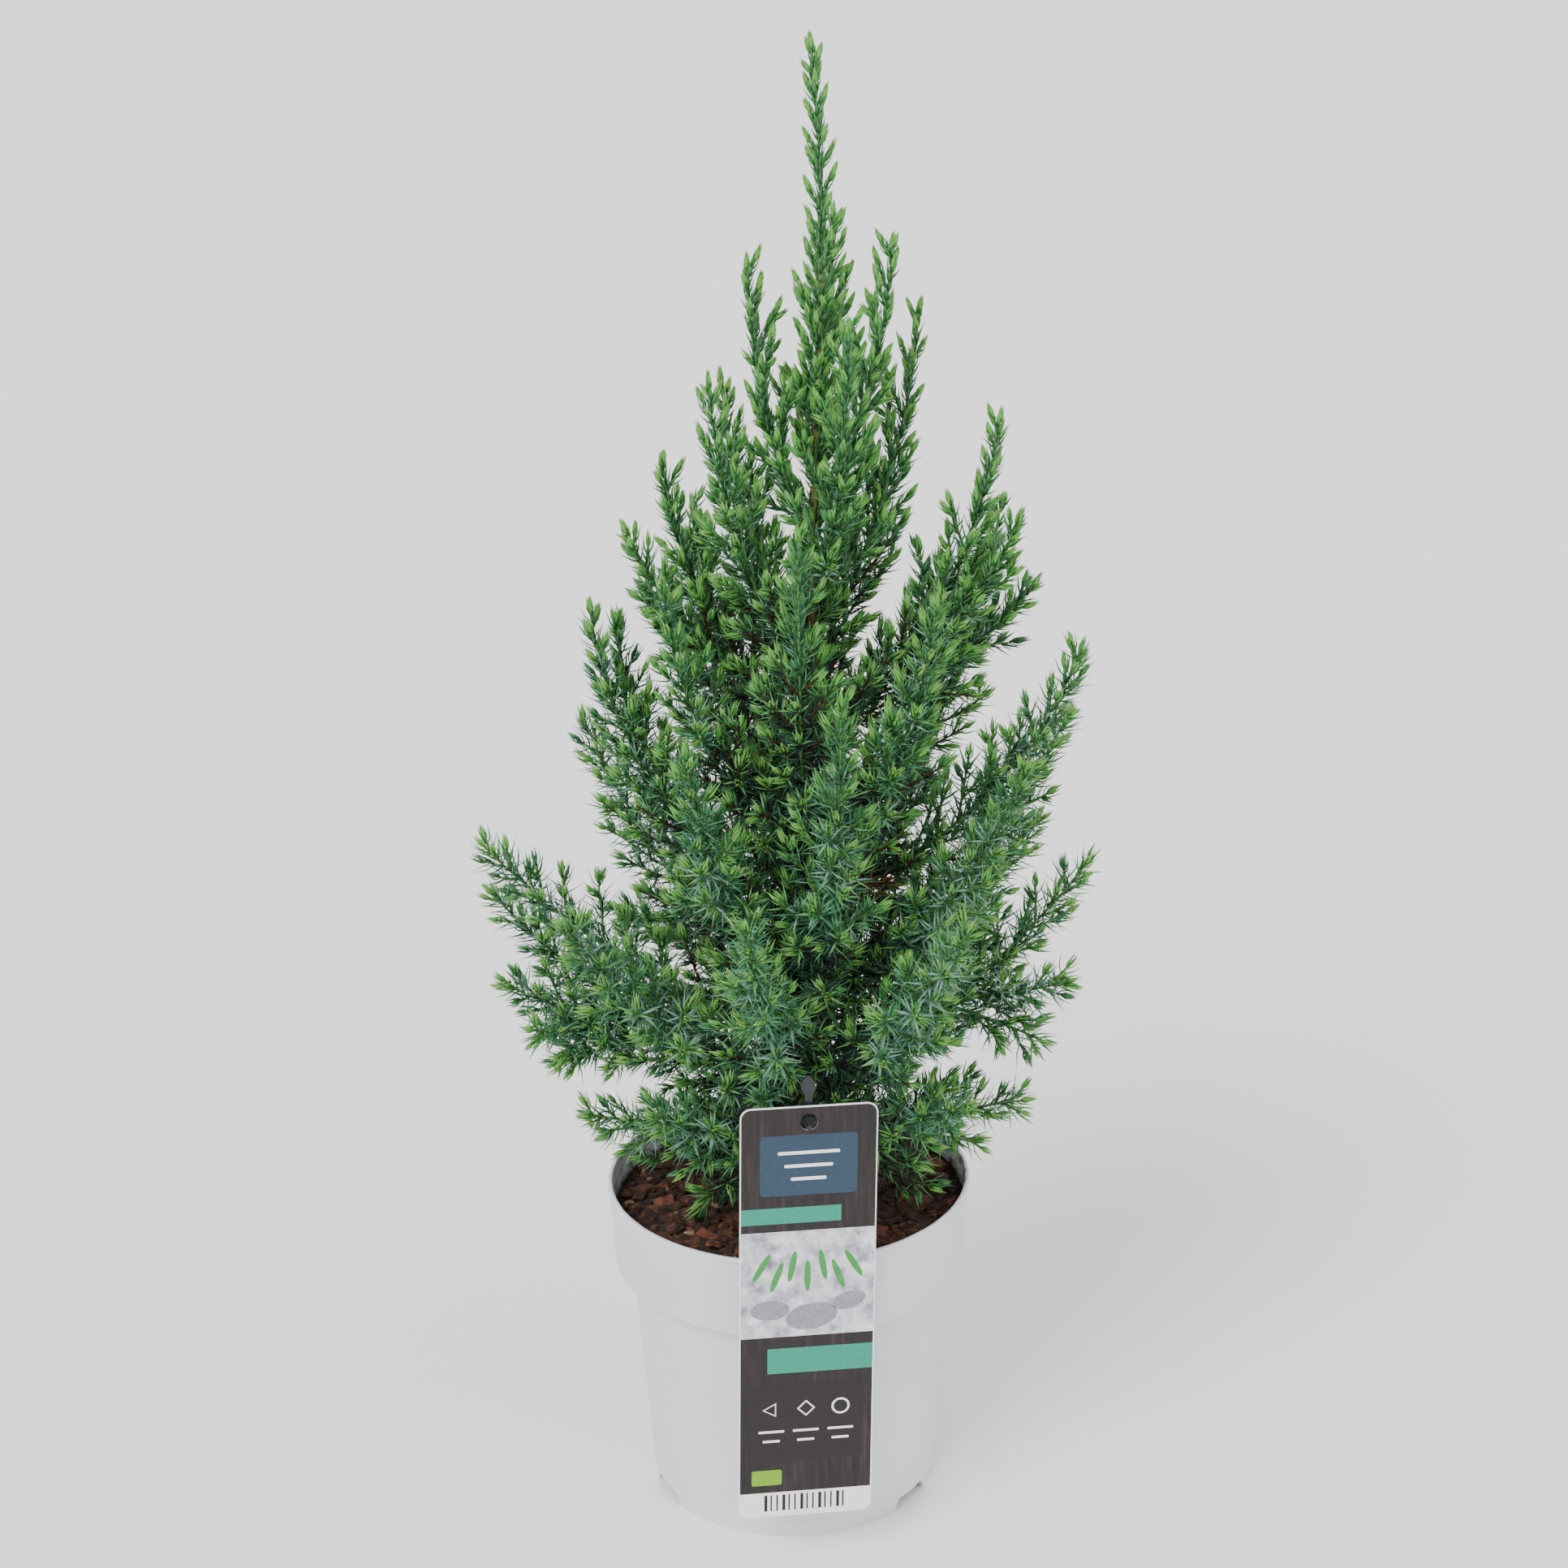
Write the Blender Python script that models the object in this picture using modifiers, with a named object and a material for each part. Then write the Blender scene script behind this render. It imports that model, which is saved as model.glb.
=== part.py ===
"""An upright Chinese juniper in a nursery container.

A young conifer with one nearly straight trunk and a narrow, pyramid-shaped crown of ascending boughs
covered in short awl needles. It stands in a pale plastic container with a wide collar and three feet,
and a long care card hangs on a hook over the rim. Units are metres, +Z is up, the floor is Z = 0,
and the axis of the container is X = Y = 0. The card is on the -Y side.
"""

import math
import random

import bmesh
import bpy
from mathutils import Euler, Matrix, Vector
from mathutils.bvhtree import BVHTree

MM = 0.001
CLEAR = 0.3 * MM

# Container
POT_HEIGHT = 157.6 * MM
RIM_RADIUS = 85.3 * MM
LIP_PROUD = 0.6 * MM
LIP_HEIGHT = 2.5 * MM
COLLAR_HEIGHT = 41.0 * MM
COLLAR_FOOT_RADIUS = 83.2 * MM
BODY_TOP_RADIUS = 75.5 * MM
FOOT_RADIUS = 67.8 * MM
FOOT_WIDTH = 1.8 * MM
POT_WALL = 1.6 * MM
FLOOR_HEIGHT = 8.0 * MM
POT_STEPS = 36
NOTCH_HEIGHT = 6.0 * MM
NOTCH_ANGLE = 23.0
NOTCH_CENTRES = (-35.0, 85.0, 205.0)
DRAIN_HOLES = 6
DRAIN_RADIUS = 3.5 * MM
DRAIN_CIRCLE = 50.0 * MM

# Potting mix
SOIL_Z = 145.0 * MM
SOIL_STEPS = 24
SOIL_GAP = 0.55 * MM
SOIL_BUMP = 1.6 * MM

# Trunk: it leans to +X, and its tip nods back
TRUNK_FOOT_X = 2.5 * MM
TRUNK_LEAN = 0.043
TRUNK_SWAY = 2.0 * MM
TRUNK_TOP = 455.0 * MM
PLANT_HEIGHT = 548.0 * MM
TIP_NOD = 7.6 * MM
TRUNK_FOOT_RADIUS = 4.4 * MM
TRUNK_TOP_RADIUS = 0.9 * MM
FLARE_RADIUS = 3.6 * MM
FLARE_HEIGHT = 11.0 * MM

# Boughs and their masses: azimuth in degrees from +X, then start height, reach and tip height in mm
# above the soil, and how many degrees the limb bends up on each side of its chord.
BOUGHS = {
    "low_left": (196, 24, 106, 60, -6),
    "low_front_left": (226, 34, 100, 82, 8),
    "low_front_right": (318, 30, 106, 84, 6),
    "low_right": (345, 26, 112, 64, -4),
    "low_back_right": (48, 28, 108, 72, 4),
    "low_back_left": (130, 26, 106, 76, 4),
    "wide_left": (173, 46, 149, 156, 12),
    "wide_front_left": (218, 58, 138, 184, 14),
    "wide_front": (258, 66, 131, 200, 16),
    "wide_front_right": (302, 60, 132, 190, 14),
    "wide_right": (357, 50, 132, 176, 12),
    "wide_back_right": (30, 60, 132, 170, 12),
    "wide_back": (80, 48, 126, 158, 12),
    "wide_back_left": (120, 62, 134, 186, 14),
    "mid_left": (188, 78, 150, 196, 12),
}

# Masses that spring from the trunk itself, in the same terms
SHOOTS = {
    "mid_back_left": (150, 98, 122, 226, 18),
    "mid_front_left": (236, 104, 98, 262, 22),
    "mid_front": (277, 100, 92, 288, 26),
    "mid_front_right": (325, 92, 116, 246, 18),
    "mid_right": (8, 104, 122, 240, 18),
    "mid_back_right": (55, 108, 116, 236, 18),
    "mid_back": (98, 112, 116, 248, 18),
    "tall_left": (184, 138, 99, 304, 26),
    "tall_front_left": (212, 168, 78, 326, 22),
    "tall_front": (262, 176, 62, 352, 22),
    "tall_front_right": (308, 158, 84, 322, 22),
    "tall_right": (352, 148, 122, 284, 26),
    "tall_back_right": (28, 168, 98, 332, 22),
    "tall_back": (80, 182, 82, 326, 20),
    "tall_back_left": (132, 176, 82, 330, 20),
    "upper_left": (176, 232, 68, 366, 20),
    "upper_front": (204, 258, 52, 409, 16),
    "upper_right": (356, 222, 80, 386, 22),
    "upper_back_right": (32, 266, 52, 427, 16),
    "upper_back_left": (140, 258, 56, 396, 16),
    "top_left": (184, 322, 32, 456, 12),
    "top_right": (350, 330, 31, 464, 12),
    "top_back": (80, 346, 34, 470, 12),
    "top_front": (285, 292, 42, 436, 16),
}

BARE_SHARE = 0.36
BOUGH_FOOT_RADIUS = 2.3 * MM
BOUGH_TIP_RADIUS = 1.35 * MM
LIMB_POINTS = 25

# Twigs and sprays of needles, coarser than on the plant
STEM_RADIUS = 1.15 * MM
TWIG_RADIUS = 0.95 * MM
TIP_RADIUS = 0.18 * MM
BUD_LENGTH = 13.0 * MM
BUD_RADIUS = 1.7 * MM
WHORL_STEP = 11.5 * MM
BARE_STEP = 24.0 * MM
BARE_STEM = 0.35
WHORL_TURN = math.radians(40)
NEEDLE = 13.0 * MM
SPREAD_LOW = math.radians(52)
SPREAD_HIGH = math.radians(24)
TWIG_GAP = 21.0 * MM
TWIG_TURN = math.radians(137.5)
TWIG_ANGLE = math.radians(42)
TWIG_LONGEST = 60.0 * MM
TWIG_SHORTEST = 16.0 * MM
TWIG_RISE = 0.35
ROOT_RADIUS = 0.32 * MM
FLAT_ANGLE = math.radians(0.2)
ROOT_STRETCH = 3.6 * MM
SPACE_MARGIN = 1.0 * MM
LOWEST_SHOOT = 4.0 * MM
TIP_LEAD = 1.0 * MM
TIP_RISE = 10.0 * MM
FULL_REACH = 95.0 * MM
SHRINKS = (1.0, 0.75, 0.52)
STEM_NEEDLE_SHARE = 0.9
LEADER_FULLNESS = 0.55
FIRST_TWIG = 0.6
LAST_TWIG = 0.8
STEM_STEPS = 12
SEED = 11

# Care card and its hook
CARD_WIDTH = 62.0 * MM
CARD_LENGTH = 211.0 * MM
CARD_THICKNESS = 0.6 * MM
CARD_CORNER = 5.0 * MM
CARD_TOP = 239.0 * MM
CARD_X = 9.6 * MM
CARD_Y = -90.6 * MM
CARD_TURN = math.radians(8)
CARD_LEAN = math.radians(1.5)
PEG_Z = 231.0 * MM
PEG_RADIUS = 3.5 * MM
PEG_HOLE = 4.0 * MM
PEG_LENGTH = 9.0 * MM
HOOK_WIDTH = 8.0 * MM
HOOK_THICKNESS = 1.8 * MM
HOOK_FOOT = 149.0 * MM
HOOK_FRONT = -86.9 * MM
HOOK_BACK = -81.4 * MM
SPEAR_TOP = 252.5 * MM
SPEAR_WIDTH = 6.6 * MM
NECK_WIDTH = 3.4 * MM
NECK_Z = 243.0 * MM

COLOURS = {
    "container_grey": ((0.65, 0.67, 0.70), 0.45),
    "bark_mix": ((0.055, 0.025, 0.014), 0.95),
    "trunk_bark": ((0.19, 0.075, 0.030), 0.85),
    "juniper_needles": ((0.055, 0.16, 0.075), 0.6),
    "card_print": ((0.11, 0.16, 0.19), 0.35),
    "hook_anthracite": ((0.035, 0.037, 0.042), 0.4),
}


def clear_scene():
    for obj in list(bpy.data.objects):
        bpy.data.objects.remove(obj, do_unlink=True)


def new_collection(name, hidden=False):
    collection = bpy.data.collections.new(name)
    bpy.context.scene.collection.children.link(collection)
    collection.hide_render = hidden
    return collection


def material(name):
    found = bpy.data.materials.get(name)
    if found:
        return found
    colour, roughness = COLOURS[name]
    made = bpy.data.materials.new(name)
    made.use_nodes = True
    shader = made.node_tree.nodes["Principled BSDF"]
    shader.inputs["Base Color"].default_value = (*colour, 1.0)
    shader.inputs["Roughness"].default_value = roughness
    shader.inputs["Metallic"].default_value = 0.0
    return made


def place(obj, collection, material_name=None):
    for holder in list(obj.users_collection):
        holder.objects.unlink(obj)
    collection.objects.link(obj)
    if material_name:
        obj.data.materials.clear()
        obj.data.materials.append(material(material_name))
    return obj


def mesh_object(name, bm, collection, material_name=None):
    mesh = bpy.data.meshes.new(name)
    bm.to_mesh(mesh)
    bm.free()
    obj = bpy.data.objects.new(name, mesh)
    return place(obj, collection, material_name)


def smooth(obj, degrees=35):
    obj.data.shade_smooth()
    obj.data.set_sharp_from_angle(angle=math.radians(degrees))


def as_mesh(obj, collection):
    """Replaces a curve, or an object with modifiers, by its evaluated mesh with the doubles welded."""
    bpy.context.view_layer.update()
    graph = bpy.context.evaluated_depsgraph_get()
    mesh = bpy.data.meshes.new_from_object(obj.evaluated_get(graph))
    bm = bmesh.new()
    bm.from_mesh(mesh)
    bm.transform(obj.matrix_world)
    bmesh.ops.remove_doubles(bm, verts=bm.verts, dist=1e-6)
    bmesh.ops.recalc_face_normals(bm, faces=bm.faces)
    bpy.data.meshes.remove(mesh)
    name = obj.name
    materials = [m.name for m in obj.data.materials if m]
    bpy.data.objects.remove(obj, do_unlink=True)
    return mesh_object(name, bm, collection, materials[0] if materials else None)


def boolean(obj, other, operation):
    modifier = obj.modifiers.new(operation.title(), "BOOLEAN")
    modifier.operation = operation
    modifier.solver = "EXACT"
    modifier.object = other
    return modifier


def helper(obj):
    obj.hide_render = True
    obj.display_type = "WIRE"
    return obj


def turned(name, profile, steps, collection, material_name):
    """A closed turned solid from (radius, height) points that run down its outer side."""
    mesh = bpy.data.meshes.new(name)
    points = [(radius, 0.0, height) for radius, height in profile]
    mesh.from_pydata(points, [(i, i + 1) for i in range(len(points) - 1)], [])
    obj = place(bpy.data.objects.new(name, mesh), collection, material_name)
    screw = obj.modifiers.new("Screw", "SCREW")
    screw.steps = steps
    screw.render_steps = steps
    screw.use_merge_vertices = True
    screw.merge_threshold = 1e-6
    screw.use_smooth_shade = True
    return obj


def pot_profile():
    collar_z = POT_HEIGHT - COLLAR_HEIGHT
    lip_z = POT_HEIGHT - LIP_HEIGHT
    inner_rim = RIM_RADIUS - POT_WALL
    inner_collar = COLLAR_FOOT_RADIUS - POT_WALL
    inner_top = BODY_TOP_RADIUS - POT_WALL
    floor_top = FLOOR_HEIGHT + POT_WALL
    inner_floor = FOOT_RADIUS - POT_WALL + 0.06 * floor_top
    return [
        (0.0, floor_top),
        (inner_floor, floor_top),
        (inner_top, collar_z + POT_WALL - 1.0 * MM),
        (inner_collar, collar_z + POT_WALL),
        (inner_rim, POT_HEIGHT),
        (RIM_RADIUS, POT_HEIGHT),
        (RIM_RADIUS + LIP_PROUD, POT_HEIGHT - 0.4 * MM),
        (RIM_RADIUS + LIP_PROUD, lip_z + 0.3 * MM),
        (RIM_RADIUS, lip_z),
        (COLLAR_FOOT_RADIUS, collar_z),
        (BODY_TOP_RADIUS, collar_z - 1.0 * MM),
        (FOOT_RADIUS, 0.0),
        (FOOT_RADIUS - FOOT_WIDTH, 0.0),
        (FOOT_RADIUS - FOOT_WIDTH - 0.3 * MM, FLOOR_HEIGHT),
        (0.0, FLOOR_HEIGHT),
    ]


def notch_cutter(index, centre, collection):
    """A block with slanted ends that opens the foot between two feet."""
    half = FOOT_RADIUS * math.radians(NOTCH_ANGLE) / 2
    bm = bmesh.new()
    bmesh.ops.create_cube(bm, size=1.0)
    for vert in bm.verts:
        narrow = 0.72 if vert.co.z > 0 else 1.0
        vert.co = Vector(
            (
                FOOT_RADIUS - 1.0 * MM + vert.co.x * 10 * MM,
                vert.co.y * 2 * half * narrow,
                NOTCH_HEIGHT if vert.co.z > 0 else -2 * MM,
            )
        )
    cutter = helper(mesh_object(f"notch_cutter_{index}", bm, collection))
    cutter.rotation_euler = Euler((0, 0, math.radians(centre)))
    return cutter


def drain_cutter(index, collection):
    angle = math.radians(NOTCH_CENTRES[0]) + index * math.tau / DRAIN_HOLES
    place_at = Vector((DRAIN_CIRCLE * math.cos(angle), DRAIN_CIRCLE * math.sin(angle), FLOOR_HEIGHT))
    bm = bmesh.new()
    bmesh.ops.create_cone(
        bm,
        cap_ends=True,
        segments=10,
        radius1=DRAIN_RADIUS,
        radius2=DRAIN_RADIUS,
        depth=8 * MM,
        matrix=Matrix.Translation(place_at),
    )
    return helper(mesh_object(f"drain_cutter_{index}", bm, collection))


def make_pot(parts, cutters):
    pot = turned("pot", pot_profile(), POT_STEPS, parts, "container_grey")
    for index, centre in enumerate(NOTCH_CENTRES):
        boolean(pot, notch_cutter(index, centre, cutters), "DIFFERENCE")
    for index in range(DRAIN_HOLES):
        boolean(pot, drain_cutter(index, cutters), "DIFFERENCE")
    pot = as_mesh(pot, parts)
    smooth(pot)
    return pot


def make_soil(parts, rng):
    """The potting mix fills the container; its top is flat at the trunk and lumpy round it."""
    collar_z = POT_HEIGHT - COLLAR_HEIGHT
    shelf = BODY_TOP_RADIUS - POT_WALL - SOIL_GAP
    collar = COLLAR_FOOT_RADIUS - POT_WALL - SOIL_GAP
    rim = RIM_RADIUS - POT_WALL - SOIL_GAP
    share = (SOIL_Z - collar_z) / COLLAR_HEIGHT
    top = collar + (rim - collar) * share - 0.1 * MM
    floor_top = FLOOR_HEIGHT + POT_WALL + CLEAR
    foot = FOOT_RADIUS - POT_WALL - SOIL_GAP
    profile = [
        (0.0, SOIL_Z),
        (14 * MM, SOIL_Z),
        (34 * MM, SOIL_Z),
        (52 * MM, SOIL_Z),
        (68 * MM, SOIL_Z),
        (top, SOIL_Z - 1.5 * MM),
        (collar, collar_z + POT_WALL + CLEAR),
        (shelf, collar_z + POT_WALL),
        (foot, floor_top),
        (0.0, floor_top),
    ]
    soil = as_mesh(turned("soil", profile, SOIL_STEPS, parts, "bark_mix"), parts)
    for vert in soil.data.vertices:
        if 20 * MM < vert.co.to_2d().length < 70 * MM and vert.co.z > SOIL_Z - 1 * MM:
            vert.co.z += rng.uniform(-1.0, 1.0) * SOIL_BUMP
    smooth(soil)
    return soil


def trunk_axis(height):
    """The trunk's centre at a height above the soil."""
    share = height / PLANT_HEIGHT
    nod = max(0.0, (height - 0.8 * PLANT_HEIGHT) / (0.2 * PLANT_HEIGHT))
    x = TRUNK_FOOT_X + TRUNK_LEAN * height - TIP_NOD * nod * nod
    y = TRUNK_SWAY * math.sin(math.tau * share)
    return Vector((x, y, SOIL_Z + height))


def trunk_radius(height):
    share = min(1.0, height / TRUNK_TOP)
    flare = FLARE_RADIUS * math.exp(-height / (0.4 * FLARE_HEIGHT))
    return TRUNK_FOOT_RADIUS + (TRUNK_TOP_RADIUS - TRUNK_FOOT_RADIUS) * share**0.85 + flare


def curve_tube(name, points, radii, collection, material_name, sides=6, turns=None):
    """A tube along points, with its own radius and twist at each, as a welded mesh."""
    curve = bpy.data.curves.new(name, "CURVE")
    curve.dimensions = "3D"
    curve.twist_mode = "MINIMUM"
    curve.use_fill_caps = True
    profile = None
    if sides == 3:
        ring = bpy.data.curves.new("three_sided", "CURVE")
        ring.dimensions = "2D"
        corners = ring.splines.new("POLY")
        corners.points.add(2)
        for index, point in enumerate(corners.points):
            angle = index * math.tau / 3
            point.co = (math.cos(angle), math.sin(angle), 0.0, 1.0)
        corners.use_cyclic_u = True
        profile = bpy.data.objects.new("three_sided", ring)
        collection.objects.link(profile)
        helper(profile)
        curve.bevel_mode = "OBJECT"
        curve.bevel_object = profile
    else:
        curve.bevel_depth = 1.0
        curve.bevel_resolution = (sides - 4) // 2
    spline = curve.splines.new("POLY")
    spline.points.add(len(points) - 1)
    for index, point in enumerate(spline.points):
        point.co = (*points[index], 1.0)
        point.radius = radii[index]
        point.tilt = turns[index] if turns else 0.0
    obj = place(bpy.data.objects.new(name, curve), collection, material_name)
    made = as_mesh(obj, collection)
    if profile:
        bpy.data.objects.remove(profile, do_unlink=True)
    return made


def make_trunk(parts):
    heights = [0.0, 3 * MM, 8 * MM, 16 * MM]
    heights += [30 * MM + index * (TRUNK_TOP - 30 * MM) / 13 for index in range(14)]
    points = [trunk_axis(height) + Vector((0, 0, CLEAR)) for height in heights]
    radii = [trunk_radius(height) for height in heights]
    trunk = curve_tube("trunk", points, radii, parts, "trunk_bark", sides=8)
    floor = SOIL_Z + CLEAR
    for vert in trunk.data.vertices:
        if vert.co.z < floor + 1 * MM:
            vert.co.z = floor
    smooth(trunk)
    return trunk


def limb_path(azimuth, start, reach, tip, bend):
    """An arc from the trunk's axis to the tip, bent up by the same angle on both sides of its chord."""
    out = Vector((math.cos(math.radians(azimuth)), math.sin(math.radians(azimuth)), 0.0))
    root = trunk_axis(start * MM)
    end = Vector((trunk_axis(tip * MM).x, 0.0, SOIL_Z + tip * MM)) + out * reach * MM
    chord = end - root
    side = chord.cross(Vector((0, 0, 1))).normalized()
    angle = math.radians(bend)
    leave = Matrix.Rotation(-angle, 3, side) @ chord
    arrive = Matrix.Rotation(angle, 3, side) @ chord
    path = []
    for index in range(LIMB_POINTS):
        t = index / (LIMB_POINTS - 1)
        a = 2 * t**3 - 3 * t**2 + 1
        b = t**3 - 2 * t**2 + t
        c = -2 * t**3 + 3 * t**2
        d = t**3 - t**2
        path.append(root * a + leave * b + end * c + arrive * d)
    return path


def lengths_along(path):
    total = [0.0]
    for a, b in zip(path, path[1:]):
        total.append(total[-1] + (b - a).length)
    return total


def at_length(path, totals, length):
    """The point and the direction at a length along a path."""
    length = min(max(length, 0.0), totals[-1])
    index = 0
    while index < len(path) - 2 and totals[index + 1] < length:
        index += 1
    span = totals[index + 1] - totals[index]
    step = path[index + 1] - path[index]
    return path[index] + step * ((length - totals[index]) / span), step.normalized()


def clear_of_trunk(path, totals, radius):
    """How far along a path a limb of this radius comes out of the trunk."""
    length = 0.0
    while length < totals[-1]:
        point, direction = at_length(path, totals, length)
        height = point.z - SOIL_Z
        away = point - trunk_axis(height)
        lean = abs(direction.z)
        if away.to_2d().length > trunk_radius(height) + CLEAR + radius * lean:
            return length
        length += 0.2 * MM
    return totals[-1]


def nearest_on(path, point):
    best = 1.0
    for a, b in zip(path, path[1:]):
        step = b - a
        share = max(0.0, min(1.0, (point - a).dot(step) / step.length_squared))
        best = min(best, (a + step * share - point).length)
    return best


def needle_faces(corners, middle, tip):
    """The four faces of one needle, grown by the clearance, to test against its neighbours."""
    grown = [corner + (corner - middle).normalized() * CLEAR for corner in corners]
    grown.append(tip + (tip - middle).normalized() * CLEAR)
    return grown, [(0, 1, 4), (1, 2, 4), (2, 3, 4), (3, 0, 4)]


def pull_needles(obj, points, length, spreads, leafy, obstacles):
    """Draws the side faces of a three-sided tube out to needle points, where nothing is in the way."""
    bm = bmesh.new()
    bm.from_mesh(obj.data)
    middles = [(a + b) / 2 for a, b in zip(points, points[1:])]
    tips = {}
    for face in bm.faces:
        if len(face.verts) != 4:
            continue
        centre = face.calc_center_median()
        index = min(range(len(middles)), key=lambda i: (middles[i] - centre).length)
        if index not in leafy:
            continue
        middle = middles[index]
        forward = (points[index + 1] - points[index]).normalized()
        out = centre - middle
        out = (out - forward * out.dot(forward)).normalized()
        spread = spreads[index]
        tip = middle + (out * math.sin(spread) + forward * math.cos(spread)) * length
        grown, faces = needle_faces([vert.co for vert in face.verts], middle, tip)
        if not obstacles.meet(grown, faces):
            tips[face] = tip
    for face, tip in tips.items():
        poked = bmesh.ops.poke(bm, faces=[face])
        poked["verts"][0].co = tip
    bmesh.ops.triangulate(bm, faces=bm.faces)
    bm.to_mesh(obj.data)
    bm.free()


def needle_spread(height, share):
    """Needles stand wide low in the crown and close up towards a shoot's tip and the plant's top."""
    low = 1.0 - min(1.0, height / PLANT_HEIGHT)
    wide = SPREAD_HIGH + (SPREAD_LOW - SPREAD_HIGH) * min(1.0, 1.3 * low)
    return wide * (1.0 - 0.35 * share)


def spray_plan(path, radius, bare_share=0.0, rooted=False):
    """Where a spray's rings lie: points, radii and twists, and which of its stretches carry needles."""
    totals = lengths_along(path)
    leafy = max(totals[-1] - BUD_LENGTH, 0.5 * totals[-1])
    bare = ROOT_STRETCH if rooted else leafy * bare_share
    bare_steps = 1 if rooted else round(bare / BARE_STEP)
    whorls = max(1, round((leafy - bare) / WHORL_STEP))
    stops = [bare * index / bare_steps for index in range(bare_steps)]
    stops += [bare + (leafy - bare) * index / whorls for index in range(whorls + 1)]
    last = len(stops) - 1
    stops += [totals[-1] - 0.5 * (totals[-1] - leafy), totals[-1]]
    points = [at_length(path, totals, stop)[0] for stop in stops]
    radii = [radius * (1.0 - 0.35 * index / last) for index in range(last + 1)]
    radii += [BUD_RADIUS, TIP_RADIUS]
    turns = [WHORL_TURN * min(index, last) for index in range(len(points))]
    if rooted:
        radii[0] = ROOT_RADIUS
        turns[0] = turns[1]
    return points, radii, turns, range(bare_steps, last)


def spray_core(name, plan, collection):
    """The slim three-sided core of a spray, swollen to a closed bud at its tip."""
    points, radii, turns, _ = plan
    return curve_tube(name, points, radii, collection, None, sides=3, turns=turns)


def dress_spray(core, plan, needle, obstacles):
    points, _, _, leafy = plan
    last = len(points) - 1
    spreads = [needle_spread(points[index].z - SOIL_Z, index / last) for index in range(last)]
    pull_needles(core, points, needle, spreads, leafy, obstacles)


class Obstacles:
    """Surfaces that a new shoot or needle must keep clear of."""

    def __init__(self, known=()):
        self.known = list(known)

    def add(self, obj):
        verts = [vert.co.copy() for vert in obj.data.vertices]
        faces = [tuple(face.vertices) for face in obj.data.polygons]
        low = Vector([min(vert[axis] for vert in verts) for axis in range(3)])
        high = Vector([max(vert[axis] for vert in verts) for axis in range(3)])
        self.known.append((low, high, BVHTree.FromPolygons(verts, faces)))

    def meet(self, verts, faces):
        low = [min(vert[axis] for vert in verts) for axis in range(3)]
        high = [max(vert[axis] for vert in verts) for axis in range(3)]
        near = [
            tree
            for other_low, other_high, tree in self.known
            if all(low[i] < other_high[i] and other_low[i] < high[i] for i in range(3))
        ]
        if not near:
            return False
        mine = BVHTree.FromPolygons(verts, faces)
        return any(mine.overlap(tree) for tree in near)

    def touch(self, obj, gap=CLEAR):
        verts = [vert.co + vert.normal * gap for vert in obj.data.vertices]
        return self.meet(verts, [tuple(face.vertices) for face in obj.data.polygons])


def twig_path(base, direction, length):
    """A short shoot that turns up a little as it grows."""
    path = [base]
    steps = 5
    heading = direction.copy()
    for _ in range(steps):
        heading = (heading + Vector((0, 0, TWIG_RISE / steps))).normalized()
        path.append(path[-1] + heading * (length / steps))
    return path


def keep_body(obj):
    """Keeps the largest closed shell, so a loose scrap is dropped and a sealed hollow is filled."""
    bm = bmesh.new()
    bm.from_mesh(obj.data)
    bmesh.ops.remove_doubles(bm, verts=bm.verts, dist=2e-7)
    left = set(bm.faces)
    shells = []
    while left:
        shell = set()
        front = [left.pop()]
        while front:
            face = front.pop()
            shell.add(face)
            for edge in face.edges:
                for other in edge.link_faces:
                    if other in left:
                        left.remove(other)
                        front.append(other)
        shells.append(shell)
    largest = max(shells, key=len)
    loose = [face for shell in shells if shell is not largest for face in shell]
    bmesh.ops.delete(bm, geom=loose, context="FACES")
    bmesh.ops.dissolve_limit(bm, angle_limit=FLAT_ANGLE, verts=bm.verts, edges=bm.edges)
    bmesh.ops.triangulate(bm, faces=bm.faces)
    bm.to_mesh(obj.data)
    bm.free()


def fuse(name, stem, twigs, parts):
    """One Boolean union of the stem and its twigs."""
    pieces = bpy.data.collections.new(f"{name}_twigs")
    bpy.context.scene.collection.children.link(pieces)
    for twig in twigs:
        place(twig, pieces)
    place(stem, parts, "juniper_needles")
    stem.name = name
    stem.data.name = name
    if twigs:
        modifier = stem.modifiers.new("Union", "BOOLEAN")
        modifier.operation = "UNION"
        modifier.operand_type = "COLLECTION"
        modifier.collection = pieces
        modifier.solver = "MANIFOLD"
        stem = as_mesh(stem, parts)
    for twig in list(pieces.objects):
        bpy.data.objects.remove(twig, do_unlink=True)
    bpy.data.collections.remove(pieces)
    keep_body(stem)
    return stem


def from_trunk(point):
    """How far a point stands from the trunk's axis at its own height."""
    return (point - trunk_axis(point.z - SOIL_Z)).to_2d().length


def beyond_tip(shoot, path, leader):
    """True where a shoot would reach past the tip that its mass is named for."""
    if leader:
        return shoot[-1].z > path[-1].z - TIP_LEAD
    wide = from_trunk(shoot[-1]) > from_trunk(path[-1]) - TIP_LEAD
    return wide or shoot[-1].z > path[-1].z + TIP_RISE


def grow_twig(name, shoot, path, others, stem, inside, parts, leader):
    """One needled shoot, or None where it would leave the mass's space or touch something."""
    lowest = min(point.z for point in shoot)
    crowded = any(
        nearest_on(path, point) + SPACE_MARGIN > nearest_on(other, point)
        for point in shoot[2:]
        for other in others
    )
    if crowded or lowest < SOIL_Z + LOWEST_SHOOT or beyond_tip(shoot, path, leader):
        return None
    plan = spray_plan(shoot, TWIG_RADIUS, rooted=True)
    core = spray_core(f"{name}_twig", plan, parts)
    if inside.touch(core):
        bpy.data.objects.remove(core, do_unlink=True)
        return None
    around = Obstacles(inside.known)
    around.add(stem)
    dress_spray(core, plan, NEEDLE, around)
    inside.add(core)
    return core


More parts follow.
